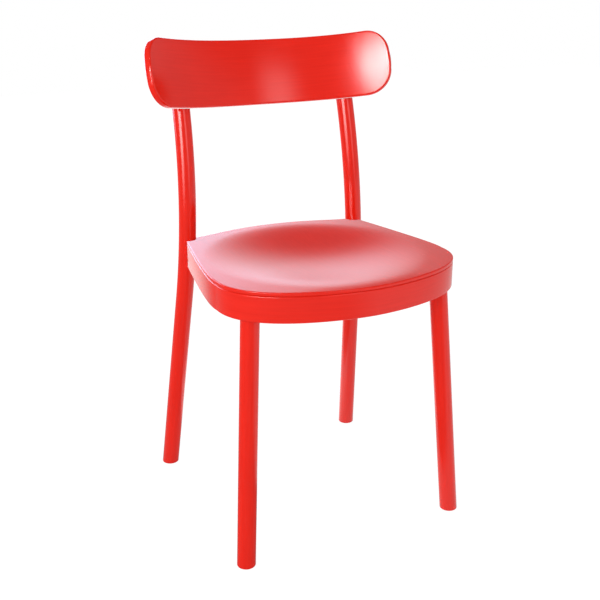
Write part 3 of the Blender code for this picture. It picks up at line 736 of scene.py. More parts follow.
def screw_profile(length):
    """Recess, head, shank and point of a countersunk screw."""
    return [(cross_recess(RECESS_FLOOR_SHARE), RECESS_DEPTH), (cross_recess(1.0), 0.0),
            (SCREW_HEAD_RADIUS - EDGE_SOFTENING, 0.0), (SCREW_HEAD_RADIUS, EDGE_SOFTENING),
            (SCREW_RADIUS, SCREW_HEAD_HEIGHT), (SCREW_RADIUS, length - SCREW_POINT),
            (SCREW_TIP_RADIUS, length)]


def screw_hole(place, length):
    """The hole that a screw leaves, opened towards the driver."""
    profile = [(SCREW_HEAD_RADIUS + GAP, -PAST), (SCREW_HEAD_RADIUS + GAP, 0.0),
               (SCREW_RADIUS + GAP, SCREW_HEAD_HEIGHT), (SCREW_RADIUS + GAP, length + GAP)]
    return turned(profile, place, SCREW_SIDES)

# %% [markdown]
# The back screws stand square to the bent board, so each points at the axis of its bend. Their
# length follows from what they pass: the leg without its lap and the sunk head, and the board
# without the wood that covers the point.

# %% Places of the back screws
BACK_SCREW_SPACING = 0.0520
BACK_SCREW_SUNK = 0.0010
BACK_SCREW_COVER = 0.0035
BACK_SCREW_LENGTH = (2 * LEG_RADIUS - BACK_SCREW_SUNK - BACK_LAP
                     + BACK_THICKNESS - BACK_SCREW_COVER)


def pair(spacing):
    """How far the lower and the upper one of two fasteners lie from their middle."""
    return (("lower", -spacing / 2), ("upper", spacing / 2))


def back_screw_places(side_name):
    """Places of the two screws of one leg, lower and upper, square to the bent board."""
    places = {}
    for step, rise in pair(BACK_SCREW_SPACING):
        height = BACK_MIDDLE_Z + rise * cos(REAR_POST_RAKE)
        centre = point_at_height(REAR_PATHS[side_name], height)
        board_axis = Vector((0, -BACK_CURVE_RADIUS, (BACK_FROM_WORLD @ centre).z))
        inward = (BACK_PLACE @ board_axis - centre).normalized()
        places[step] = aim(centre - inward * (LEG_RADIUS - BACK_SCREW_SUNK), inward)
    return places


BACK_SCREWS = {name: back_screw_places(name) for name in SIDES}
print("back screws are", round(BACK_SCREW_LENGTH * 1000, 1), "mm long")

# %% [markdown]
# Two bolts pull each rear leg into the hoop's corner. They are socket-head bolts: a knurled round
# head with a hexagon socket, on a washer. They are turned like the screws. The hexagon is again a
# radius that depends on the angle, and the knurl is a small ripple of the head's radius, which
# costs no more faces than a plain head with as many sides.

# %% Bolts
BOLT_RADIUS = 0.0030
BOLT_HEAD_RADIUS = 0.0050
BOLT_HEAD_HEIGHT = 0.0060
BOLT_CHAMFER = 3 * EDGE_SOFTENING
BOLT_SOCKET_FLAT = 0.0025
BOLT_SOCKET_DEPTH = 0.0030
BOLT_SOCKET_CENTRE = 0.0004
KNURL_TEETH = 36
KNURL_DEPTH = 0.00015
BOLT_SIDES = 144


def hexagon(angle):
    """Radius of the hexagon socket at an angle."""
    return BOLT_SOCKET_FLAT / cos((angle + pi / 6) % (pi / 3) - pi / 6)


def knurl(angle):
    """Radius of the knurled head at an angle."""
    return BOLT_HEAD_RADIUS - KNURL_DEPTH * (1 + cos(KNURL_TEETH * angle)) / 2


def bolt_profile(length):
    """Socket, chamfered knurled head and shank."""
    return [(BOLT_SOCKET_CENTRE, BOLT_SOCKET_DEPTH), (hexagon, BOLT_SOCKET_DEPTH), (hexagon, 0.0),
            (BOLT_HEAD_RADIUS - BOLT_CHAMFER, 0.0),
            (BOLT_HEAD_RADIUS - BOLT_CHAMFER / 4, BOLT_CHAMFER / 2), (knurl, BOLT_CHAMFER),
            (knurl, BOLT_HEAD_HEIGHT), (BOLT_RADIUS, BOLT_HEAD_HEIGHT),
            (BOLT_RADIUS, BOLT_HEAD_HEIGHT + length)]

# %% [markdown]
# The bolts run level, at half a right angle, from a flat inside the hoop's corner to near the
# middle of the leg. The legs lean, so each bolt is measured at its own height. The hoop's height
# comes first, since the bolts sit round its middle.

# %% Places of the bolts
RING_HEIGHT = 0.0428
PANEL_THICKNESS = 0.0060
RING_TOP = SEAT_TOP - PANEL_THICKNESS - GAP
RING_BOTTOM = RING_TOP - RING_HEIGHT
RING_MIDDLE = (RING_TOP + RING_BOTTOM) / 2
BOLT_SPACING = 0.0200
BOLT_ANGLE = radians(45)
BOLT_WALL = 0.0350


def bolt_direction(side):
    """Level direction of the bolts, from the inside of the hoop out to the leg."""
    return Vector((side * cos(BOLT_ANGLE), sin(BOLT_ANGLE), 0))


def bolt_flat(side_name):
    """Middle of the flat inside the hoop that the washers lie on."""
    leg = point_at_height(REAR_PATHS[side_name], RING_MIDDLE)
    return leg - bolt_direction(SIDES[side_name]) * (LEG_RADIUS + BOLT_WALL)


def bolt_places(side_name):
    """Each bolt's place on the flat, and how far from there the middle of the leg lies."""
    direction = bolt_direction(SIDES[side_name])
    places = {}
    for step, rise in pair(BOLT_SPACING):
        centre = point_at_height(REAR_PATHS[side_name], RING_MIDDLE + rise)
        reach = (centre - bolt_flat(side_name)).dot(direction)
        places[step] = (aim(centre - direction * reach, direction), reach)
    return places


BOLTS = {name: bolt_places(name) for name in SIDES}
print("bolts:", sum(len(places) for places in BOLTS.values()))

# %% [markdown]
# The front legs stand square under the hoop's front curve, splayed outwards and forwards. A tenon
# on each goes up into the hoop, and a screw from inside the hoop holds it. Their places could be
# typed in, but taken from the curve they stay right if the seat's shape changes. Halving a stretch
# of the curve again and again finds where a leg has the right distance from the middle.

# %% Places of the front legs
FRONT_LEG_SPACING = 0.3409
FRONT_LEG_INSET = 0.0226
FRONT_LEG_SPLAY = radians(3.668)
FRONT_LEG_RAKE = radians(3.993)
TANGENT_STEP = 0.01
HALVINGS = 30
TENON_RADIUS = 0.0090
TENON_LENGTH = 0.0320
FRONT_SCREW_SUNK = 0.0020
FRONT_SCREW_BITE = 0.0050


def front_leg_stand(along):
    """Middle of a front leg at a place along the front curve, and the outward direction there."""
    here = cubic(*front_edge(), along)
    tangent = (cubic(*front_edge(), along + TANGENT_STEP) - here).normalized()
    outward = tangent.orthogonal()
    return here - outward * FRONT_LEG_INSET, outward


def front_leg_socket(side):
    """Where a front leg's middle meets the hoop's bottom, and the outward direction there."""
    low, high = 0.0, 1.0
    for _ in range(HALVINGS):
        along = (low + high) / 2
        middle, outward = front_leg_stand(along)
        if middle.x > FRONT_LEG_SPACING / 2:
            low = along
        else:
            high = along
    socket = Vector((side * middle.x, middle.y, RING_BOTTOM))
    return socket, Vector((side * outward.x, outward.y, 0))


def front_leg_direction(side):
    """Direction of a front leg, upwards."""
    return Vector((-side * tan(FRONT_LEG_SPLAY), tan(FRONT_LEG_RAKE), 1)).normalized()


print("front legs meet the hoop at", [round(v, 4) for v in front_leg_socket(1)[0]])

# %% [markdown]
# Inside the hoop two flats cross the rear corners, for the washers. The rest of its opening
# follows the seat's outline at the width of the ring. Moving the outline inwards would round the
# flats away, so the opening is drawn with its own curves, in as many points as the outline has.
# That lets one skin join the two.

# %% The hoop's opening
RING_WIDTH = 0.0420
BOLT_FLAT_WIDTH = 0.0280


def opening_outline():
    """The hole inside the hoop, with a flat across each rear corner for the bolts."""
    front = Vector((0, SEAT_FRONT_Y + RING_WIDTH))
    side = Vector((SEAT_SIDE_X - RING_WIDTH, SEAT_SIDE_Y))
    back = Vector((0, SEAT_BACK_Y - RING_WIDTH))
    along_flat = Vector((-sin(BOLT_ANGLE), cos(BOLT_ANGLE))) * BOLT_FLAT_WIDTH / 2
    flat_middle = bolt_flat("right").to_2d()
    flat_side = flat_middle - along_flat
    flat_back = flat_middle + along_flat
    depth_share = (side.y - front.y) / (SEAT_SIDE_Y - SEAT_FRONT_Y)
    width_share = side.x / SEAT_SIDE_X
    third = (flat_side - side).length / 3
    along_side = Vector((sin(SIDE_CORNER_SLANT), -cos(SIDE_CORNER_SLANT)))
    before_flat = run_of_curves(
        front, (front + Vector((FRONT_EDGE_REACH * width_share, 0)),
                side + Vector((0, -FRONT_SIDE_REACH * depth_share)), side, EDGE_STEPS),
        (side + Vector((0, third)), flat_side + along_side * third, flat_side, EDGE_STEPS - 1))
    behind_flat = run_of_curves(
        flat_back, (flat_back.lerp(back, 1 / 3) + Vector((0, (back.y - flat_back.y) / 3)),
                    Vector((flat_back.x / 2, back.y)), back, BACK_EDGE_STEPS))
    return mirrored_loop(before_flat + behind_flat)


OPENING = opening_outline()
print("opening:", len(OPENING), "points, as many as the seat outline's", len(OUTLINE))

# %% [markdown]
# A screw from the inside of the hoop reaches the tenon, so its length depends on how much wood
# stands between the opening and the tenon. Blender can shoot a ray at a mesh, but the hoop isn't
# made yet, and a ray in the flat plan measures the same.

# %% Front screws
def ray_to_loop(loop, start, direction):
    """Distance from a point to the nearest edge of an outline, along a direction."""
    reach = []
    for a, b in zip(loop, loop[1:] + loop[:1]):
        edge = b - a
        crossing = direction.cross(edge)
        if crossing == 0:
            continue
        share = (a - start).cross(direction) / crossing
        distance = (a - start).cross(edge) / crossing
        if 0 <= share <= 1 and distance > 0:
            reach.append(distance)
    return min(reach)


def front_screw(side):
    """Place and length of the screw through a front leg's tenon."""
    socket, outward = front_leg_socket(side)
    direction = front_leg_direction(side)
    tenon = socket + direction * (RING_MIDDLE - RING_BOTTOM) / direction.z
    wall = ray_to_loop(OPENING, tenon.to_2d(), -outward.to_2d())
    length = wall - FRONT_SCREW_SUNK + FRONT_SCREW_BITE
    return aim(tenon - outward * (wall - FRONT_SCREW_SUNK), outward), length


FRONT_SCREWS = {name: front_screw(side) for name, side in SIDES.items()}
print("front screws are", round(FRONT_SCREWS["right"][1] * 1000, 1), "mm long")

# %% [markdown]
# The seat is a thin moulded panel that lies on the hoop and is dished for comfort. The dish could
# be sculpted, but a formula keeps it smooth and the same on both sides: how far a point lies from
# the rim of an oval, raised to a power that sets how full the dish's walls are. The front edge
# also rolls down a little, where the sitter's legs pass over it.

# %% The seat's dish
DISH_DEPTH = 0.0197
DISH_MIDDLE_Y = -0.0252
DISH_BACK_RIM = 0.0163
DISH_SIDE_RIM = 0.0185
DISH_FRONT_RIM = 0.0097
DISH_FULLNESS = 1.68
DISH_UNDER_FULLNESS = 1.20
DISH_UNDER_MARGIN = 0.0028
FRONT_ROLL_REACH = 0.0300
FRONT_ROLL_DROP = 0.0012


def dish_drop(x, y, back_rim, side_rim, front_rim, fullness):
    """How far the dish lies below the rim at a point; it meets the rim without a step."""
    back_reach = SEAT_BACK_Y - back_rim - DISH_MIDDLE_Y
    front_reach = DISH_MIDDLE_Y - SEAT_FRONT_Y - front_rim
    across = x / (SEAT_SIDE_X - side_rim)
    along = (y - DISH_MIDDLE_Y) / (back_reach if y > DISH_MIDDLE_Y else front_reach)
    share = across**2 + along**2
    return DISH_DEPTH * (1 - share)**fullness if share < 1 else 0.0


def top_drop(x, y):
    """How far the panel's top lies below its highest level: dish and roll of the front edge."""
    into_roll = max(0.0, SEAT_FRONT_Y + FRONT_ROLL_REACH - y) / FRONT_ROLL_REACH
    dish = dish_drop(x, y, DISH_BACK_RIM, DISH_SIDE_RIM, DISH_FRONT_RIM, DISH_FULLNESS)
    return dish + FRONT_ROLL_DROP * into_roll**2


def under_drop(x, y):
    """How far the bulge under the dish hangs below the panel's flat underside."""
    rim = RING_WIDTH + DISH_UNDER_MARGIN
    return dish_drop(x, y, rim, rim, rim, DISH_UNDER_FULLNESS)

# %% [markdown]
# The panel is one skin. It starts as a small loop in the middle of the dish, grows ring by ring to
# the rim, goes round the edge and comes back under the seat, where the dish shows as a bulge. A
# grid of squares would meet the edge in steps, while rings follow it. Two bars as thick as the
# legs, with a hair of air, then cut the rear corners.

# %% Seat panel
PANEL_TOP_ROUNDING = 0.0016
PANEL_BOTTOM_ROUNDING = 0.0010
PANEL_BOTTOM_STEPS = 3
DISH_RINGS = 40
UNDER_RINGS = 16
CENTRE_SHARE = 0.02


def lowered(loop, height, drop):
    """Lay an outline at a height, each point lowered by its drop."""
    return [Vector((point.x, point.y, height - drop(point.x, point.y))) for point in loop]


def shrunk(loop, ring, rings):
    """Draw a loop towards the seat's middle: ring 0 is the smallest, the last one full size."""
    middle = Vector((0, (SEAT_BACK_Y + SEAT_FRONT_Y) / 2))
    share = CENTRE_SHARE + (1 - CENTRE_SHARE) * ring / rings
    return [middle.lerp(point, share) for point in loop]


def panel_shape():
    """Top with its dish, rounded edge, and underside with the bulge of the dish."""
    flat = inset(OUTLINE, PANEL_TOP_ROUNDING + HOLDING_ROW)
    underside = SEAT_TOP - PANEL_THICKNESS
    loops = [lowered(shrunk(flat, ring, DISH_RINGS), SEAT_TOP, top_drop)
             for ring in range(DISH_RINGS)]
    loops += [lowered(inset(OUTLINE, inward), SEAT_TOP - drop, top_drop)
              for inward, drop in rounded(PANEL_TOP_ROUNDING)]
    loops += [level(inset(OUTLINE, inward), underside + rise)
              for inward, rise in rounded_back(PANEL_BOTTOM_ROUNDING, PANEL_BOTTOM_STEPS)]
    loops += [lowered(shrunk(OPENING, ring, UNDER_RINGS), underside, under_drop)
              for ring in range(UNDER_RINGS, -1, -1)]
    return skin(loops)


def notches():
    """The two leg-sized bars that cut the seat's rear corners."""
    return [bar(path, LEG_RADIUS + GAP) for path in REAR_PATHS.values()]


panel = as_object("seat_panel_dished", panel_shape())
cut(panel, notches())
store_grain(panel, lambda place: place)
keep(panel, "seat_panel", SEAT_LACQUER)

# %% [markdown]
# The hoop under the seat is a deep ring of laminated wood that stands upright all round. A profile
# swept along a curve would pinch at the flats, so it is a closed skin: down the outside, in under
# the bottom, up the inside and out over the top. Sockets, notches and drilled holes are then cut,
# as a maker drills them after the ring is glued.

# %% Hoop
RING_OUTER_ROUNDING = 0.0022
RING_INNER_ROUNDING = 0.0020
INSERT_SUNK = 0.0008


def hoop_shape():
    """The ring without its holes."""
    rows = [(OUTLINE, inward, RING_TOP - drop) for inward, drop in rounded(RING_OUTER_ROUNDING)]
    rows += [(OUTLINE, inward, RING_BOTTOM + rise)
             for inward, rise in rounded_back(RING_OUTER_ROUNDING)]
    rows += [(OPENING, -inward, RING_BOTTOM + rise)
             for inward, rise in rounded(RING_INNER_ROUNDING)]
    rows += [(OPENING, -inward, RING_TOP - drop)
             for inward, drop in rounded_back(RING_INNER_ROUNDING)]
    return skin([level(inset(loop, inward), height) for loop, inward, height in rows], closed=True)


def bore(radius, depth, place, start=0.0):
    """A drilled hole with a hair of air round what goes into it."""
    return turned([(radius + GAP, start - PAST), (radius + GAP, depth)], place, SCREW_SIDES)


def hoop_holes():
    """Leg sockets and bolt holes."""
    holes = []
    for name, side in SIDES.items():
        place = aim(front_leg_socket(side)[0], front_leg_direction(side))
        holes.append(bore(TENON_RADIUS, TENON_LENGTH + GAP, place))
        holes += [bore(BOLT_RADIUS, reach - LEG_RADIUS + INSERT_SUNK, place)
                  for place, reach in BOLTS[name].values()]
    return holes


hoop = as_object("seat_hoop", hoop_shape())
cut(hoop, notches())
cut(hoop, hoop_holes())
cut(hoop, [screw_hole(*FRONT_SCREWS[name]) for name in SIDES])
store_grain(hoop, lambda place: place)
keep(hoop, "seat_ring", HOOP_LACQUER)

# %% [markdown]
# Each foot ends in a glide: a small plastic disc let into the end of the leg and held by a nail.
# The holes for them are cut while the legs are made, so their sizes come first, and each leg
# writes down where its foot is.

# %% Sizes of the glides
GLIDE_RADIUS = 0.0100
GLIDE_HEIGHT = 0.0050
GLIDE_PROUD = 0.0010
GLIDE_ROUNDING = 0.0006
NAIL_RADIUS = 0.0012
NAIL_HEAD_RADIUS = 0.0034
NAIL_HEAD_HEIGHT = 0.0012
NAIL_SUNK = 0.0014
NAIL_LENGTH = 0.0200
FOOT_ROUNDING = 0.0014
FEET = {}


def above_floor(foot):
    """Upright place on the floor under a foot."""
    return Matrix.Translation(Vector((foot.x, foot.y, 0)))


def foot_hole(foot):
    """Recess for a glide, with the nail's hole above it."""
    profile = [(GLIDE_RADIUS + GAP, -PAST), (GLIDE_RADIUS + GAP, GLIDE_HEIGHT + GAP),
               (NAIL_RADIUS + GAP, GLIDE_HEIGHT + GAP), (NAIL_RADIUS + GAP, NAIL_LENGTH + GAP)]
    return turned(profile, above_floor(foot), SCREW_SIDES)


print("glides stand", round(GLIDE_PROUD * 1000, 1), "mm proud of the wood")

# %% [markdown]
# A front leg is a straight turned bar. It is sawn level at the floor and under the hoop, and its
# tenon is joined on with a Boolean, so that leg and tenon are one solid, as they are when both are
# turned from one blank.

# %% Front legs
def front_leg(name, side):
    """Make one front leg, sawn, tenoned and drilled."""
    socket, _ = front_leg_socket(side)
    direction = front_leg_direction(side)
    floor = socket - direction * (socket.z + PAST) / direction.z
    shape = bar([floor, socket + direction * PAST], LEG_RADIUS)
    saw(shape, Vector((0, 0, GLIDE_PROUD)), -UP, FOOT_ROUNDING)
    saw(shape, socket - UP * GAP, UP)
    leg = as_object("front_leg_turned_" + name, shape)
    tenon = [(TENON_RADIUS, -PAST), (TENON_RADIUS, TENON_LENGTH)]
    combine(leg, turned(tenon, aim(socket, direction), SCREW_SIDES), "UNION")
    foot = socket - direction * (socket.z - GLIDE_PROUD) / direction.z
    FEET["front_" + name] = foot
    cut(leg, [foot_hole(foot), screw_hole(*FRONT_SCREWS[name])])
    to_blank = aim(foot, direction).inverted()
    store_grain(leg, lambda place: to_blank @ place)
    keep(leg, "front_leg_" + name, LEG_LACQUER)


for name, side in SIDES.items():
    front_leg(name, side)

# %% [markdown]
# A rear leg is bent from a straight bar, so its grain has to be followed round the bend: each
# point is measured from the nearest stretch of the middle line. The bent board itself, with a hair
# of air round it, cuts the lap that it rests in, which fits better than any block would. The
# seat's gloss would mirror the posts as hard stripes, which its soft sheen doesn't show, so
# reflections pass the rear legs by.

# %% Rear legs
POST_TOP_DROP = 0.0180
POST_TOP_ROUNDING = 0.0030
INSERT_RADIUS = 0.0048
INSERT_LENGTH = 0.0150


def straighten(path):
    """A function that gives a point's place in the straight bar that was bent to this path."""
    starts = [0.0]
    for a, b in zip(path, path[1:]):
        starts.append(starts[-1] + (b - a).length)
    frames = [axes_at([a, b], 0) for a, b in zip(path, path[1:])]

    def past_stretch(place, i):
        """How far a point lies past the ends of a stretch of the path; negative beside it."""
        middle = (path[i] + path[i + 1]) / 2
        length = (path[i + 1] - path[i]).length
        return abs((place - middle).dot(frames[i][2])) - length / 2

    def place_in_bar(place):
        best = min(range(len(frames)), key=lambda i: past_stretch(place, i))
        across, ahead, along = frames[best]
        offset = place - path[best]
        return Vector((offset.dot(across), offset.dot(ahead), starts[best] + offset.dot(along)))
    return place_in_bar


def insert_bore(place, reach):
    """Bore in a leg for the threaded insert of a bolt."""
    start = reach - LEG_RADIUS + INSERT_SUNK
    return bore(INSERT_RADIUS, start + INSERT_LENGTH + GAP, place, start)


def rear_leg(name):
    """Make one rear leg, sawn, lapped and drilled."""
    path = REAR_PATHS[name]
    shape = bar(path, LEG_RADIUS)
    post_top = bent(0, BACK_HEIGHT / 2 - POST_TOP_DROP, 0)
    saw(shape, Vector((0, 0, GLIDE_PROUD)), -UP, FOOT_ROUNDING)
    saw(shape, post_top, BACK_PLACE.to_3x3() @ UP, POST_TOP_ROUNDING)
    leg = as_object("rear_leg_bent_" + name, shape)
    foot = point_at_height(path, GLIDE_PROUD)
    FEET["rear_" + name] = foot
    lap = bent_board(inset(back_outline(), -GAP), -BACK_THICKNESS, BACK_THICKNESS + GAP, GAP)
    cut(leg, [lap, foot_hole(foot)] + [insert_bore(*bolt) for bolt in BOLTS[name].values()])
    cut(leg, [screw_hole(place, BACK_SCREW_LENGTH) for place in BACK_SCREWS[name].values()])
    store_grain(leg, straighten(path))
    keep(leg, "rear_leg_" + name, LEG_LACQUER)
    leg.visible_glossy = False


for name in SIDES:
    rear_leg(name)

# %% [markdown]
# The backrest was shaped before the legs, whose laps follow it. Its own screw holes could have
# been cut then too, but they lie where the legs put them, so they go in last. Its grain follows,
# which runs along its length.

# %% Backrest
for places in BACK_SCREWS.values():
    cut(backrest, [screw_hole(place, BACK_SCREW_LENGTH) for place in places.values()])
store_grain(backrest, unbent)
keep(backrest, "backrest", BACK_LACQUER)

# %% [markdown]
# Zinc-plated steel is a light, slightly blue grey. A plain mirror of a metal would look like
# chrome, but plating is never even: fine marks from the drum cross it, and its gloss changes in
# small patches. Yellow zinc has the same surface in a straw colour, so one function makes both.
# The patterns are read in the pieces' own coordinates, in metres.

# %% Metal finishes
PATCHES_PER_METRE = 700
PATCH_DETAIL = 3.0
PATCH_EDGES = (0.35, 0.68)
PATCH_DULLNESS = 0.14
PATCH_HEIGHT = 0.3
MARKS_PER_METRE = 2600
MARK_LAY = (1.0, 1.0, 8.0)
MARK_DULLNESS = 0.08
MARK_HEIGHT = 0.7
SMALL_FINENESS = 0.6
PLATING_RELIEF = 0.00002
PLATING_STRENGTH = 0.8


def plated_steel(name, light, dark, roughness):
    """Plated steel with cloudy colour, patchy gloss and fine marks."""
    finish, shader, start = new_finish(name, {"Metallic": 1.0})
    place = start.add("ShaderNodeTexCoord", output="Object")
    patches = place.noise(PATCHES_PER_METRE, PATCH_DETAIL, SMALL_FINENESS)
    marks = place.scaled(MARK_LAY).noise(MARKS_PER_METRE, roughness=SMALL_FINENESS)
    feed(patches.between(*PATCH_EDGES).blend(dark, light), shader, "Base Color")
    feed(roughness + patches * PATCH_DULLNESS + marks * MARK_DULLNESS, shader, "Roughness")
    emboss(marks * MARK_HEIGHT + patches * PATCH_HEIGHT, shader, PLATING_RELIEF, PLATING_STRENGTH)
    return finish


ZINC_STEEL = plated_steel("zinc_steel_plated", light=(0.66, 0.67, 0.68, 1.0),
                          dark=(0.48, 0.49, 0.50, 1.0), roughness=0.22)
YELLOW_ZINC = plated_steel("yellow_zinc_plated", light=(0.66, 0.50, 0.22, 1.0),
                           dark=(0.46, 0.36, 0.18, 1.0), roughness=0.26)
print("metal finishes:", ZINC_STEEL.name, YELLOW_ZINC.name)

# %% [markdown]
# With the finish ready, the screws, bolts and washers are turned and put in their holes. One loop
# does it for both sides, so no place is written twice. The threaded inserts hide inside the legs,
# so their solids stay as they are and only get their finish.

# %% Fasteners
WASHER_RADIUS = 0.0075
WASHER_THICKNESS = 0.0016
BOLT_TIP_CLEARANCE = 0.0020
STEEL = (ZINC_STEEL, "zinc_steel")


def turned_piece(name, node, profile, place, finish, slot, sides=SCREW_SIDES, closed=False):
    """Turn a small piece and keep it."""
    keep(as_object(name, turned(profile, place, sides, closed)), node, finish)


def washer_profile():
    """A flat ring with softened rims."""
    hole = BOLT_RADIUS + GAP
    soft = EDGE_SOFTENING
    return [(hole, soft), (hole + soft, 0.0), (WASHER_RADIUS - soft, 0.0), (WASHER_RADIUS, soft),
            (WASHER_RADIUS, WASHER_THICKNESS - soft), (WASHER_RADIUS - soft, WASHER_THICKNESS),
            (hole + soft, WASHER_THICKNESS), (hole, WASHER_THICKNESS - soft)]


def back_off(place, distance):
    """The same place, moved back along its axis."""
    return place @ Matrix.Translation((0, 0, -distance))


for name in SIDES:
    place, length = FRONT_SCREWS[name]
    turned_piece("front_screw_driven_" + name, "front_screw_" + name, screw_profile(length),
                 place, *STEEL)
    for step, place in BACK_SCREWS[name].items():
        label = name + "_" + step
        turned_piece("back_screw_driven_" + label, "back_screw_" + label,
                     screw_profile(BACK_SCREW_LENGTH), place, *STEEL)
    for step, (place, reach) in BOLTS[name].items():
        label = name + "_" + step
        head_seat = 2 * GAP + WASHER_THICKNESS
        into_leg = reach - LEG_RADIUS + INSERT_SUNK + INSERT_LENGTH - BOLT_TIP_CLEARANCE
        turned_piece("washer_" + label, "bolt_washer_" + label, washer_profile(),
                     back_off(place, GAP + WASHER_THICKNESS), *STEEL, closed=True)
        turned_piece("socket_bolt_" + label, "rear_bolt_" + label,
                     bolt_profile(head_seat + into_leg),
                     back_off(place, head_seat + BOLT_HEAD_HEIGHT), *STEEL, sides=BOLT_SIDES)
        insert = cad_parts["leg_insert_" + label]
        insert.data.materials.clear()
        insert.data.materials.append(YELLOW_ZINC)

# %% [markdown]
# The glides are moulded plastic, mid grey and matte, with the fine even texture of the mould and a
# few scuffs from the floor. A single colour would do from afar, but a chair is also looked at
# upside down.

# %% Plastic finish
PLASTIC_GREY = (0.27, 0.27, 0.28, 1.0)
SCUFFED_GREY = (0.37, 0.36, 0.35, 1.0)
PLASTIC_ROUGHNESS = 0.45
TEXTURE_PER_METRE = 2400
TEXTURE_DULLNESS = 0.15
TEXTURE_HEIGHT = 0.6
SCUFFS_PER_METRE = 260
SCUFF_DETAIL = 4.0
SCUFF_FINENESS = 0.65
SCUFF_EDGES = (0.52, 0.66)
SCUFF_DULLNESS = 0.15
SCUFF_HEIGHT = 0.4
PLASTIC_RELIEF = 0.00003
PLASTIC_STRENGTH = 0.7


def moulded_plastic():
    """Matte plastic with a fine mould texture and scuffs."""
    finish, shader, start = new_finish("grey_plastic_moulded", {"Specular IOR Level": 0.4})
    place = start.add("ShaderNodeTexCoord", output="Object")
    texture = place.noise(TEXTURE_PER_METRE, roughness=SMALL_FINENESS)
    scuffs = place.noise(SCUFFS_PER_METRE, SCUFF_DETAIL, SCUFF_FINENESS).between(*SCUFF_EDGES)
    feed(scuffs.blend(PLASTIC_GREY, SCUFFED_GREY), shader, "Base Color")
    feed(PLASTIC_ROUGHNESS + texture * TEXTURE_DULLNESS + scuffs * SCUFF_DULLNESS,
         shader, "Roughness")
    emboss(texture * TEXTURE_HEIGHT + scuffs * SCUFF_HEIGHT, shader, PLASTIC_RELIEF,
           PLASTIC_STRENGTH)
    return finish

# %% [markdown]
# Each glide has a rounded rim, and the nail's domed head sits in a hollow in its middle. Both are
# turned from a profile, which is how such parts are drawn and made.

# %% Glides and nails
NAIL_CENTRE_SHARE = 0.05
NAIL_DOME_HEIGHT = 0.0007


def glide_profile():
    """Section of a glide, from the nail's hole out over the floor face and up its side."""
    hole = NAIL_HEAD_RADIUS + GAP
    under_head = NAIL_SUNK + NAIL_HEAD_HEIGHT + GAP
    corner = [(GLIDE_RADIUS - inward, drop) for inward, drop in rounded(GLIDE_ROUNDING)]
    inside = [(NAIL_RADIUS + GAP, under_head), (hole, under_head), (hole, EDGE_SOFTENING)]
    top = [(GLIDE_RADIUS, GLIDE_HEIGHT), (NAIL_RADIUS + GAP, GLIDE_HEIGHT)]
    return inside + [(hole + EDGE_SOFTENING, 0.0)] + corner + top


def nail_profile():
    """Domed head with its rim and flat back, and the shank."""
    under_head = NAIL_SUNK + NAIL_HEAD_HEIGHT
    dome = [(NAIL_HEAD_RADIUS * max(sin(turn), NAIL_CENTRE_SHARE),
             NAIL_SUNK + NAIL_DOME_HEIGHT * (1 - cos(turn)))
            for turn in quarter_turns(ROUND_STEPS)]
    return dome + [(NAIL_HEAD_RADIUS, under_head), (NAIL_RADIUS, under_head),
                   (NAIL_RADIUS, NAIL_LENGTH)]


GREY_PLASTIC = moulded_plastic()
for label, foot in FEET.items():
    turned_piece("glide_" + label, "foot_glide_" + label, glide_profile(), above_floor(foot),
                 GREY_PLASTIC, "grey_plastic", closed=True)
    turned_piece("nail_" + label, "glide_nail_" + label, nail_profile(), above_floor(foot), *STEEL)

# %% [markdown]
# The Light Path node tells which kind of ray asks for a colour: one from the camera, one that was
# reflected, or one that only carries light. A strong lamp could turn a grey floor white, but it
# would bleach the chair too. Here the floor and the world are white in the picture, a studio in
# reflections and plain to the light. Both are painted with windows: soft bands between four
# angles, bright between the middle two.

# %% Kinds of rays
WHITE = (1.0, 1.0, 1.0, 1.0)


def empty_tree(owner):
    """Clear a material's or the world's node tree and return a wire to build from."""
    owner.use_nodes = True
    owner.node_tree.nodes.clear()
    return Wire(owner.node_tree)


def end_tree(shader, kind):
    """Lead the last shader of a tree into its output node."""
    output = shader.tree.nodes.new(kind)
    shader.tree.links.new(shader.socket, output.inputs["Surface"])


def ray_kinds(start):
    """Whether a ray comes from the camera, and whether it is a reflection."""
    return [start.add("ShaderNodeLightPath", output=kind)
            for kind in ("Is Camera Ray", "Is Glossy Ray")]


def past(angle, low, high):
    """0 to 1 between two angles in degrees; 1 to 0 where the higher angle is named first."""
    return angle.between(radians(low), radians(high))


def window(angle, dark, bright, still_bright, dark_again):
    """1 between the middle two of four angles in degrees, and 0 outside the outer two."""
    return past(angle, dark, bright) * past(angle, dark_again, still_bright)

# %% [markdown]
# The chair stands on a pale floor that runs into a white background. To the camera it is white,
# with a soft trace of the shadow that a small lit share keeps. To the reflections in the lacquer
# it is what a studio floor is: dim in front of the chair and on its left, paler on its right, and
# bright straight behind it, at the foot of the backdrop.

# %% Floor
FLOOR_SIZE = 12.0
FLOOR_COLOUR = (0.90, 0.90, 0.90, 1.0)
FLOOR_OWN_SHARE = 0.86
FLOOR_OWN_LIGHT = 1.10
FLOOR_GLOSS = 0.22
FLOOR_RIGHT = {"gloss": 0.60, "bearings": (-12, 4, 150, 175)}
FLOOR_LEFT = {"gloss": 0.20, "bearings": (-90, -20, 0, 5)}
FLOOR_BEHIND = {"gloss": 0.65, "bearings": (-22, -3, 20, 60)}


def floor_in_gloss(place):
    """Brightness of the floor in reflections; the bearing is 0 behind and 90 on the right."""
    x, y = place.parts("XY")
    bearing = x.math("ARCTAN2", x, y)
    brightness = FLOOR_GLOSS
    for patch in (FLOOR_RIGHT, FLOOR_LEFT, FLOOR_BEHIND):
        brightness = window(bearing, *patch["bearings"]) * patch["gloss"] + brightness
    return brightness


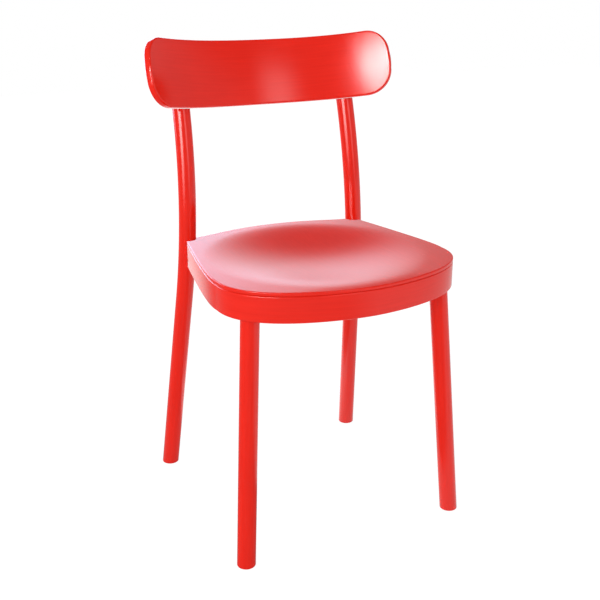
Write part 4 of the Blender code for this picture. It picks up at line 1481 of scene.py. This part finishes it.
def pale_floor():
    """White to the camera, dim to bright in reflections, and plain pale paint to the light."""
    finish = bpy.data.materials.new("pale_floor")
    start = empty_tree(finish)
    by_camera, by_gloss = ray_kinds(start)
    in_gloss = floor_in_gloss(start.add("ShaderNodeNewGeometry"))
    strength = by_camera * FLOOR_OWN_LIGHT + by_gloss * in_gloss
    own = start.add("ShaderNodeEmission", None, {"Color": WHITE, "Strength": strength})
    lit = start.add("ShaderNodeBsdfDiffuse", None, {"Color": FLOOR_COLOUR})
    share = by_camera * FLOOR_OWN_SHARE + by_gloss
    mixed = start.add("ShaderNodeMixShader", None, {0: share, 1: lit, 2: own})
    end_tree(mixed, "ShaderNodeOutputMaterial")
    return finish


floor_shape = bmesh.new()
bmesh.ops.create_grid(floor_shape, x_segments=1, y_segments=1, size=FLOOR_SIZE / 2)
floor = add_object("floor", as_mesh("floor", floor_shape))
floor.data.materials.append(pale_floor())
print("floor:", FLOOR_SIZE, "metres wide")

# %% [markdown]
# The world is the room round the chair, and this is what the lacquer mirrors of it. Real panels of
# light could stand round the chair, but painted on the world they add no noise and hide nothing.
# There is a dim room, a paler wall on the right, a bright backdrop behind the chair that gives the
# seat its pale sheen, and two soft boxes in front. The key box stands on the left and leans. It
# has a bright core near its top and a weak halo on its inner side, and it dies away downwards. It
# is the white spot at the right end of the backrest and the narrow streak on each post. The fill
# box is the faint streak beside it.

# %% The room in reflections
ROOM_GLOSS = 0.13
WALL_GLOSS = 0.35
WALL_BEARINGS = (15, 45)
WALL_TOP = (28, 18)
BACKDROP_GLOSS = 3.8
BACKDROP_BEARINGS = (-60, -35, 6, 38)
BACKDROP_TOP = (31, 17)
BACKDROP_FOOT = 0.4
BACKDROP_FOOT_TOP = (12, 2)
BOX_TOP = (29.5, 24.5)
KEY_GLOSS = 12.0
KEY_FOOT = (-8, 12)
KEY_FADE = 1.25
KEY_TOP_GLOSS = 7.0
KEY_TOP_RISE = (17.5, 22)
KEY_CORE_GLOSS = 17.0
KEY_CORE_RISE = (16.5, 21, 21.5, 26)
KEY_LEAN = 0.5
KEY_LEAN_FROM = radians(12)
KEY_OUTER_SIDE = (-74, -64)
KEY_INNER_SIDE = (-37, -47)
KEY_HALO = 0.1
KEY_HALO_SIDE = (-25, -45)
FILL_GLOSS = 2.8
FILL_BEARINGS = (-3, 14, 15, 32)
FILL_FOOT = (-10, 16)


def climb(angle, low, high):
    """0 to 1 between two angles in degrees, at an even rate."""
    spread = radians(high - low)
    offset = -radians(low) / spread
    return angle.math("MULTIPLY_ADD", angle, 1 / spread, clamped=True, third=offset)


def room_in_gloss(direction):
    """Brightness of the room in reflections by bearing and elevation, and the backdrop's share."""
    x, y, z = direction.parts("XYZ")
    behind = x.math("ARCTAN2", x, y)
    ahead = x.math("ARCTAN2", x, y * -1)
    rise = z.math("ARCSINE", z)
    foot = 1 + past(rise, *BACKDROP_FOOT_TOP) * BACKDROP_FOOT
    backdrop = window(behind, *BACKDROP_BEARINGS) * past(rise, *BACKDROP_TOP) * foot
    wall = past(ahead, *WALL_BEARINGS) * past(rise, *WALL_TOP)
    leant = ahead - (rise - KEY_LEAN_FROM) * KEY_LEAN
    inner_side = past(leant, *KEY_INNER_SIDE) * (1 - KEY_HALO)
    key_width = (inner_side + past(leant, *KEY_HALO_SIDE) * KEY_HALO) * past(leant, *KEY_OUTER_SIDE)
    key_height = (climb(rise, *KEY_FOOT)**KEY_FADE * KEY_GLOSS
                  + past(rise, *KEY_TOP_RISE) * KEY_TOP_GLOSS
                  + window(rise, *KEY_CORE_RISE) * KEY_CORE_GLOSS)
    fill = window(ahead, *FILL_BEARINGS) * climb(rise, *FILL_FOOT) * FILL_GLOSS
    boxes = (key_width * key_height + fill) * past(rise, *BOX_TOP)
    return backdrop * BACKDROP_GLOSS + wall * WALL_GLOSS + boxes + ROOM_GLOSS, backdrop

# %% [markdown]
# The camera sees the world white. To reflections it is the room above, with a cool tint on the
# backdrop that makes its sheen on the red seat slightly pink. The light that it sheds on the chair
# could be even, but a real room's isn't: a little more comes from the left and less from above, so
# it slopes gently with direction.

# %% World
ROOM_LIGHT = 1.45
ROOM_SLOPE = (-0.24, 0.12, -0.58)
BACKDROP_TINT = (0.68, 1.00, 1.36, 1.0)


def studio_world():
    """White to the camera, gently sloping light, and a studio to reflections."""
    world = bpy.data.worlds.new("studio")
    start = empty_tree(world)
    by_camera, by_gloss = ray_kinds(start)
    direction = start.add("ShaderNodeTexCoord", output="Generated")
    in_gloss, backdrop = room_in_gloss(direction)
    slope = start.add("ShaderNodeVectorMath", {"operation": "DOT_PRODUCT"},
                      {0: direction, 1: ROOM_SLOPE}, output="Value")
    in_light = (slope + 1) * ROOM_LIGHT
    strength = by_camera + by_gloss * in_gloss + (1 - by_camera - by_gloss) * in_light
    colour = (by_gloss * backdrop).blend(WHITE, BACKDROP_TINT)
    shader = start.add("ShaderNodeBackground", None, {"Color": colour, "Strength": strength})
    end_tree(shader, "ShaderNodeOutputWorld")
    world.cycles.sampling_method = "NONE"
    return world


bpy.context.scene.world = studio_world()
print("world:", len(bpy.context.scene.world.node_tree.nodes), "nodes")

# %% [markdown]
# One large square lamp lights the chair from its front left, as in a product studio; a small one
# would draw hard shadows. Reflections don't see it, since the world holds what the lacquer
# mirrors. Its brightness is that of its face, and its power follows from its area. The lamp and
# the camera are placed in the same way: so many degrees round the chair and so many up, looking at
# a target.

# %% Lamp
CHAIR_MIDDLE = Vector((0, 0, 0.45))
KEY_LAMP_AZIMUTH = -50
KEY_LAMP_ELEVATION = 20
KEY_LAMP_DISTANCE = 2.45
KEY_LAMP_SIZE = 0.9
KEY_LAMP_BRIGHTNESS = 3.2


def look_from(thing, target, azimuth, elevation, distance):
    """Point a lamp or camera at a target; azimuth 0 is in front of the chair, 90 on its right."""
    a, e = radians(azimuth), radians(elevation)
    away = Vector((sin(a) * cos(e), -cos(a) * cos(e), sin(e)))
    thing.location = target + away * distance
    thing.rotation_euler = (-away).to_track_quat("-Z", "Y").to_euler()
    print(thing.name, "at", [round(v, 2) for v in thing.location])


light = bpy.data.lights.new("key", "AREA")
light.size = KEY_LAMP_SIZE
light.energy = KEY_LAMP_BRIGHTNESS * pi * KEY_LAMP_SIZE**2
lamp = add_object("key", light)
look_from(lamp, CHAIR_MIDDLE, KEY_LAMP_AZIMUTH, KEY_LAMP_ELEVATION, KEY_LAMP_DISTANCE)
lamp.visible_camera = False
lamp.visible_glossy = False

# %% [markdown]
# The camera stands to the chair's left and a little higher than its backrest, looking down on the
# seat. A longer lens from further off would flatten the chair; this one shows the depth of the
# seat and how the legs splay.

# %% Camera
CAMERA_AZIMUTH = -26.108
CAMERA_ELEVATION = 19.518
CAMERA_DISTANCE = 1.59605
CAMERA_TARGET = Vector((-0.02723, -0.02453, 0.38372))
SENSOR_WIDTH = 36.0
LENS = 56.30

camera_data = bpy.data.cameras.new("camera")
camera_data.sensor_width = SENSOR_WIDTH
camera_data.lens = LENS
camera = add_object("camera", camera_data)
look_from(camera, CAMERA_TARGET, CAMERA_AZIMUTH, CAMERA_ELEVATION, CAMERA_DISTANCE)
bpy.context.scene.camera = camera
bpy.context.scene.view_settings.view_transform = "Standard"
